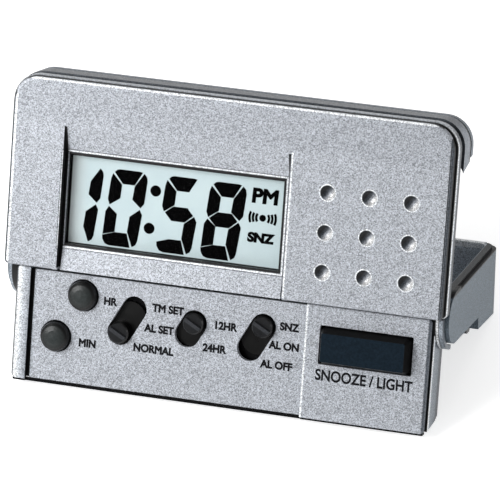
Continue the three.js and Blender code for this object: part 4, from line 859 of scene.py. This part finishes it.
def finished_mesh(name, shell, finish):
    """The shell as a mesh of that finish. The shell is used up."""
    mesh = bpy.data.meshes.new(name)
    shell.to_mesh(mesh)
    shell.free()
    mesh.materials.append(finish.material)
    return mesh


def carried(name, data, place):
    """A piece at that place that rides on the case."""
    piece = linked(name, data)
    piece.matrix_world = place
    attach(piece, "case")


def segment_piece(name, outlines):
    """Closed outlines that stand up from the display's plane, as one thin piece."""
    shell = bmesh.new()
    for outline in outlines:
        low = [(x * MM, y * MM, 0) for x, y in outline]
        high = [(x * MM, y * MM, SEGMENT_THICKNESS * MM) for x, y in outline]
        add_prism(shell, low, high)
    bmesh.ops.recalc_face_normals(shell, faces=shell.faces)
    carried(name, finished_mesh(name, shell, segment_ink), facing(0, display_plane, 0))


def lettering(name, text, x, n, u, height, stretch, weight, finish=label_ink, shear=0.0):
    """A word printed on the face, with capitals of that height."""
    curve = bpy.data.curves.new(name, "FONT")
    curve.body = text
    curve.size = height * MM / CAPITAL_SHARE
    curve.align_x = "CENTER"
    curve.align_y = "CENTER"
    curve.extrude = INK_THICKNESS * MM
    curve.bevel_depth = weight * MM
    curve.bevel_resolution = 1
    curve.shear = shear
    curve.materials.append(finish.material)
    flattened = Matrix.Diagonal((stretch, 1, INK_FLATNESS, 1))
    carried(name, curve, facing(x, n - INK_LIFT, u) @ flattened)


# ---- A dark strip under the control panel, put where there is only its shadow ----

SHADOW_STRIP_OVERLAP = 0.3  # how far it reaches in behind the panel at the bottom and the ends
SHADOW_STRIP_DROP = 0.35
RAISED_INSET = 0.6
SUNKEN_INSET = 1.0
BACK_INSET = 2.1
SINK_LEFT = 3.3
SINK_RIGHT = 66.5
SHADOW_STRIP_BEVEL = 0.12
BEVELLED_ANGLE = math.radians(40)

shadow_strip_left, shadow_strip_right = panel_left + SHADOW_STRIP_OVERLAP, panel_right - SHADOW_STRIP_OVERLAP
shadow_strip_plan = [
    (x, panel_front + inset)
    for x, inset in (
        (shadow_strip_left, RAISED_INSET),
        (panel_left + SINK_LEFT, RAISED_INSET),
        (panel_left + SINK_LEFT, SUNKEN_INSET),
        (panel_left + SINK_RIGHT, SUNKEN_INSET),
        (panel_left + SINK_RIGHT, RAISED_INSET),
        (shadow_strip_right, RAISED_INSET),
        (shadow_strip_right, BACK_INSET),
        (shadow_strip_left, BACK_INSET),
    )
]
shadow_strip_shell = bmesh.new()
add_prism(
    shadow_strip_shell,
    [at(x, n, panel_bottom - SHADOW_STRIP_DROP) for x, n in shadow_strip_plan],
    [at(x, n, panel_bottom + SHADOW_STRIP_OVERLAP) for x, n in shadow_strip_plan],
)
bmesh.ops.recalc_face_normals(shadow_strip_shell, faces=shadow_strip_shell.faces)
bmesh.ops.bevel(
    shadow_strip_shell,
    geom=[edge for edge in shadow_strip_shell.edges if edge.calc_face_angle() > BEVELLED_ANGLE],
    offset=SHADOW_STRIP_BEVEL * MM,
    segments=2,
    affect="EDGES",
)
carried("panel_shadow_strip", finished_mesh("panel_shadow_strip", shadow_strip_shell, black_plastic), Matrix())

# ---- Display segments ----

DIGITS = "1058"
DIGIT_SLANT = 0.1137
DIGIT_PITCH = 10.1
DIGITS_BOTTOM = 6.4
LAST_DIGIT_LEFT = -6.4
COLON_ROOM = 2.35
COLON_X = -18.62
COLON_HEIGHTS = (13.06, 4.7)
COLON_RADIUS = 1.22
SEGMENT_SWELL = 0.16
MOST_SWELL = 2  # how many times the swell a sharp corner may move

# Each segment's corners, from the lower left corner of an upright digit.
SEGMENTS = {
    "a": [
        (0.64, 16.1), (1.0, 16.5), (1.55, 16.65), (6.0, 16.65), (6.55, 16.55), (5.3, 13.83),
        (2.76, 13.83),
    ],
    "b": [
        (7.2, 16.2), (7.75, 15.65), (8.0, 14.8), (8.1, 9.9), (7.55, 9.06), (5.6, 10.55),
        (5.62, 13.4),
    ],
    "c": [(7.45, 8.2), (8.05, 7.3), (8.0, 1.5), (7.75, 0.7), (7.2, 0.3), (5.65, 3.35), (5.64, 6.6)],
    "d": [(0.2, 1.9), (2.7, 2.73), (5.37, 2.75), (6.46, 0), (1.9, 0), (1.0, 0.3), (0.35, 1.2)],
    "e": [(0.48, 8.25), (2.36, 6.86), (2.5, 3.07), (0.2, 2.4), (0.0, 7.3)],
    "f": [(0.2, 15.46), (2.4, 13.43), (2.5, 10.55), (0.56, 9.08), (0.05, 10.1), (0.0, 14.6)],
    "g": [(1.0, 8.68), (2.5, 10.0), (5.6, 10.0), (7.0, 8.6), (5.5, 7.12), (2.6, 7.12)],
}
SEGMENTS_OF = {"1": "bc", "0": "abcdef", "5": "acdfg", "8": "abcdefg"}


def swollen(points, amount):
    """The same outline with each side moved outwards by that much."""
    area = sum(a[0] * b[1] - b[0] * a[1] for a, b in zip(points, points[1:] + points[:1]))
    turn = math.copysign(1, area)
    result = []
    for before, here, after in zip(points[-1:] + points[:-1], points, points[1:] + points[:1]):
        corner = Vector(here)
        sides = [(corner - Vector(before)).normalized(), (Vector(after) - corner).normalized()]
        outwards = [Vector((side.y, -side.x)) * turn for side in sides]
        middle = (outwards[0] + outwards[1]).normalized()
        share = max(middle.dot(outwards[0]), 1 / MOST_SWELL)
        result.append(tuple(corner + middle * amount / share))
    return result


def slanted(points, left):
    """A segment of the digit that starts there, swollen and leant to the right."""
    outline = swollen(points, SEGMENT_SWELL)
    return [(left + x + DIGIT_SLANT * y, DIGITS_BOTTOM + y) for x, y in outline]


def arc(centre, radius, turns):
    """A point at each of the turns round the centre."""
    x, y = centre
    return [(x + radius * math.cos(turn), y + radius * math.sin(turn)) for turn in turns]


def circle(centre, radius, steps=28):
    """A full circle about a centre, as one closed outline."""
    return arc(centre, radius, [2 * math.pi * step / steps for step in range(steps)])


def arc_band(centre, radius, width, middle, spread, steps=10):
    """A thin arc about a centre, as one closed outline."""
    turns = [middle + spread * (2 * step / steps - 1) for step in range(steps + 1)]
    outer = arc(centre, radius + width / 2, turns)
    inner = arc(centre, radius - width / 2, turns)
    return outer + inner[::-1]


for place, digit in enumerate(DIGITS):
    left = LAST_DIGIT_LEFT - DIGIT_PITCH * (3 - place) - (COLON_ROOM if place < 2 else 0)
    outlines = [slanted(SEGMENTS[key], left) for key in SEGMENTS_OF[digit]]
    segment_piece(f"digit_{place + 1}", outlines)

colon_dots = []
for height in COLON_HEIGHTS:
    centre = (COLON_X + DIGIT_SLANT * height, DIGITS_BOTTOM + height)
    colon_dots.append(circle(centre, COLON_RADIUS))
segment_piece("digit_colon", colon_dots)

ALARM_MARK = (7.39, 16.49)
ALARM_DOT = 0.74
WAVE_WIDTH = 0.53
WAVES = ((1.45, 36), (2.2, 27), (2.95, 24))  # each one's radius, and half its angle in degrees

alarm_outlines = [circle(ALARM_MARK, ALARM_DOT)]
for radius, degrees in WAVES:
    for middle in (0, math.pi):
        spread = math.radians(degrees)
        alarm_outlines.append(arc_band(ALARM_MARK, radius, WAVE_WIDTH, middle, spread))
segment_piece("alarm_mark", alarm_outlines)

MARK_SHEAR = 0.05
for name, text, x, u, height, stretch, weight in (
    ("afternoon_mark", "PM", 7.6, 21.1, 3.0, 1.08, 0.2),
    ("snooze_mark", "SNZ", 7.15, 12.0, 1.9, 1.1, 0.18),
):
    lettering(name, text, x, display_plane, u, height, stretch, weight, segment_ink, MARK_SHEAR)

# ---- Labels of the controls ----

LABEL_HEIGHT = 1.6
LABEL_STRETCH = 0.96
LABEL_WEIGHT = 0.12

for name, text, x, u in (
    ("label_hour", "HR", -25.45, -5.95),
    ("label_minute", "MIN", -30.1, -15.9),
    ("label_time_set", "TM SET", -12.1, -6.0),
    ("label_alarm_set", "AL SET", -13.85, -10.65),
    ("label_normal", "NORMAL", -14.9, -15.25),
    ("label_12_hour", "12HR", 1.07, -8.0),
    ("label_24_hour", "24HR", -1.07, -13.2),
    ("label_snooze", "SNZ", 15.5, -6.3),
    ("label_alarm_on", "AL ON", 14.65, -10.6),
    ("label_alarm_off", "AL OFF", 13.2, -15.0),
):
    lettering(name, text, x, sunken_plane, u, LABEL_HEIGHT, LABEL_STRETCH, LABEL_WEIGHT)
lettering("label_snooze_light", "SNOOZE / LIGHT", 33.1, panel_front, -15.6, 2.3, 0.85, 0.1)

# ---- Floor, world and lamps: lengths here are in metres ----

FLOOR_HALF_WIDTH = 3.0
FLOOR_GLOW = 0.62
WORLD_STRENGTH = 0.28

world = bpy.data.worlds.new("world")
world.use_nodes = True
bpy.context.scene.world = world
background = world.node_tree.nodes["Background"]
background.inputs["Color"].default_value = (1, 1, 1, 1)
background.inputs["Strength"].default_value = WORLD_STRENGTH


def floor_finish():
    """White paper that glows where it is looked at, straight, mirrored or through the window."""
    nodes = Nodes("floor")
    tone = nodes.ramp(nodes.noise(3.0), [(0.0, gray(0.86)), (1.0, gray(0.88))])
    rays = nodes.node("ShaderNodeLightPath").outputs
    seen = nodes.math("MAXIMUM", rays["Is Camera Ray"], rays["Is Glossy Ray"])
    seen = nodes.math("MAXIMUM", seen, rays["Is Transmission Ray"])
    nodes.shade(Base_Color=tone, Emission_Strength=nodes.math("MULTIPLY", seen, FLOOR_GLOW))
    nodes.set(Roughness=0.9, Emission_Color=(1, 1, 1, 1))
    return nodes


floor_shell = bmesh.new()
bmesh.ops.create_grid(floor_shell, x_segments=1, y_segments=1, size=FLOOR_HALF_WIDTH)
floor = linked("floor", finished_mesh("floor", floor_shell, floor_finish()))

LIT_POINT = Vector((0, 0, 0.03))


def lamp(name, place, size, power):
    """A rectangular lamp that points at the clock."""
    data = bpy.data.lights.new(name, "AREA")
    data.shape = "RECTANGLE"
    data.size, data.size_y = size
    data.energy = power
    made = linked(name, data)
    made.location = place
    made.rotation_euler = (Vector(place) - LIT_POINT).to_track_quat("Z", "Y").to_euler()


lamp("key", (-0.32, -0.28, 0.33), (0.28, 0.28), 2.6)
lamp("fill", (0.7, -0.05, 0.2), (0.35, 0.35), 1.4)
lamp("top", (0.0, 0.3, 0.8), (0.5, 0.3), 0.5)

bpy.context.scene.view_settings.view_transform = "Standard"
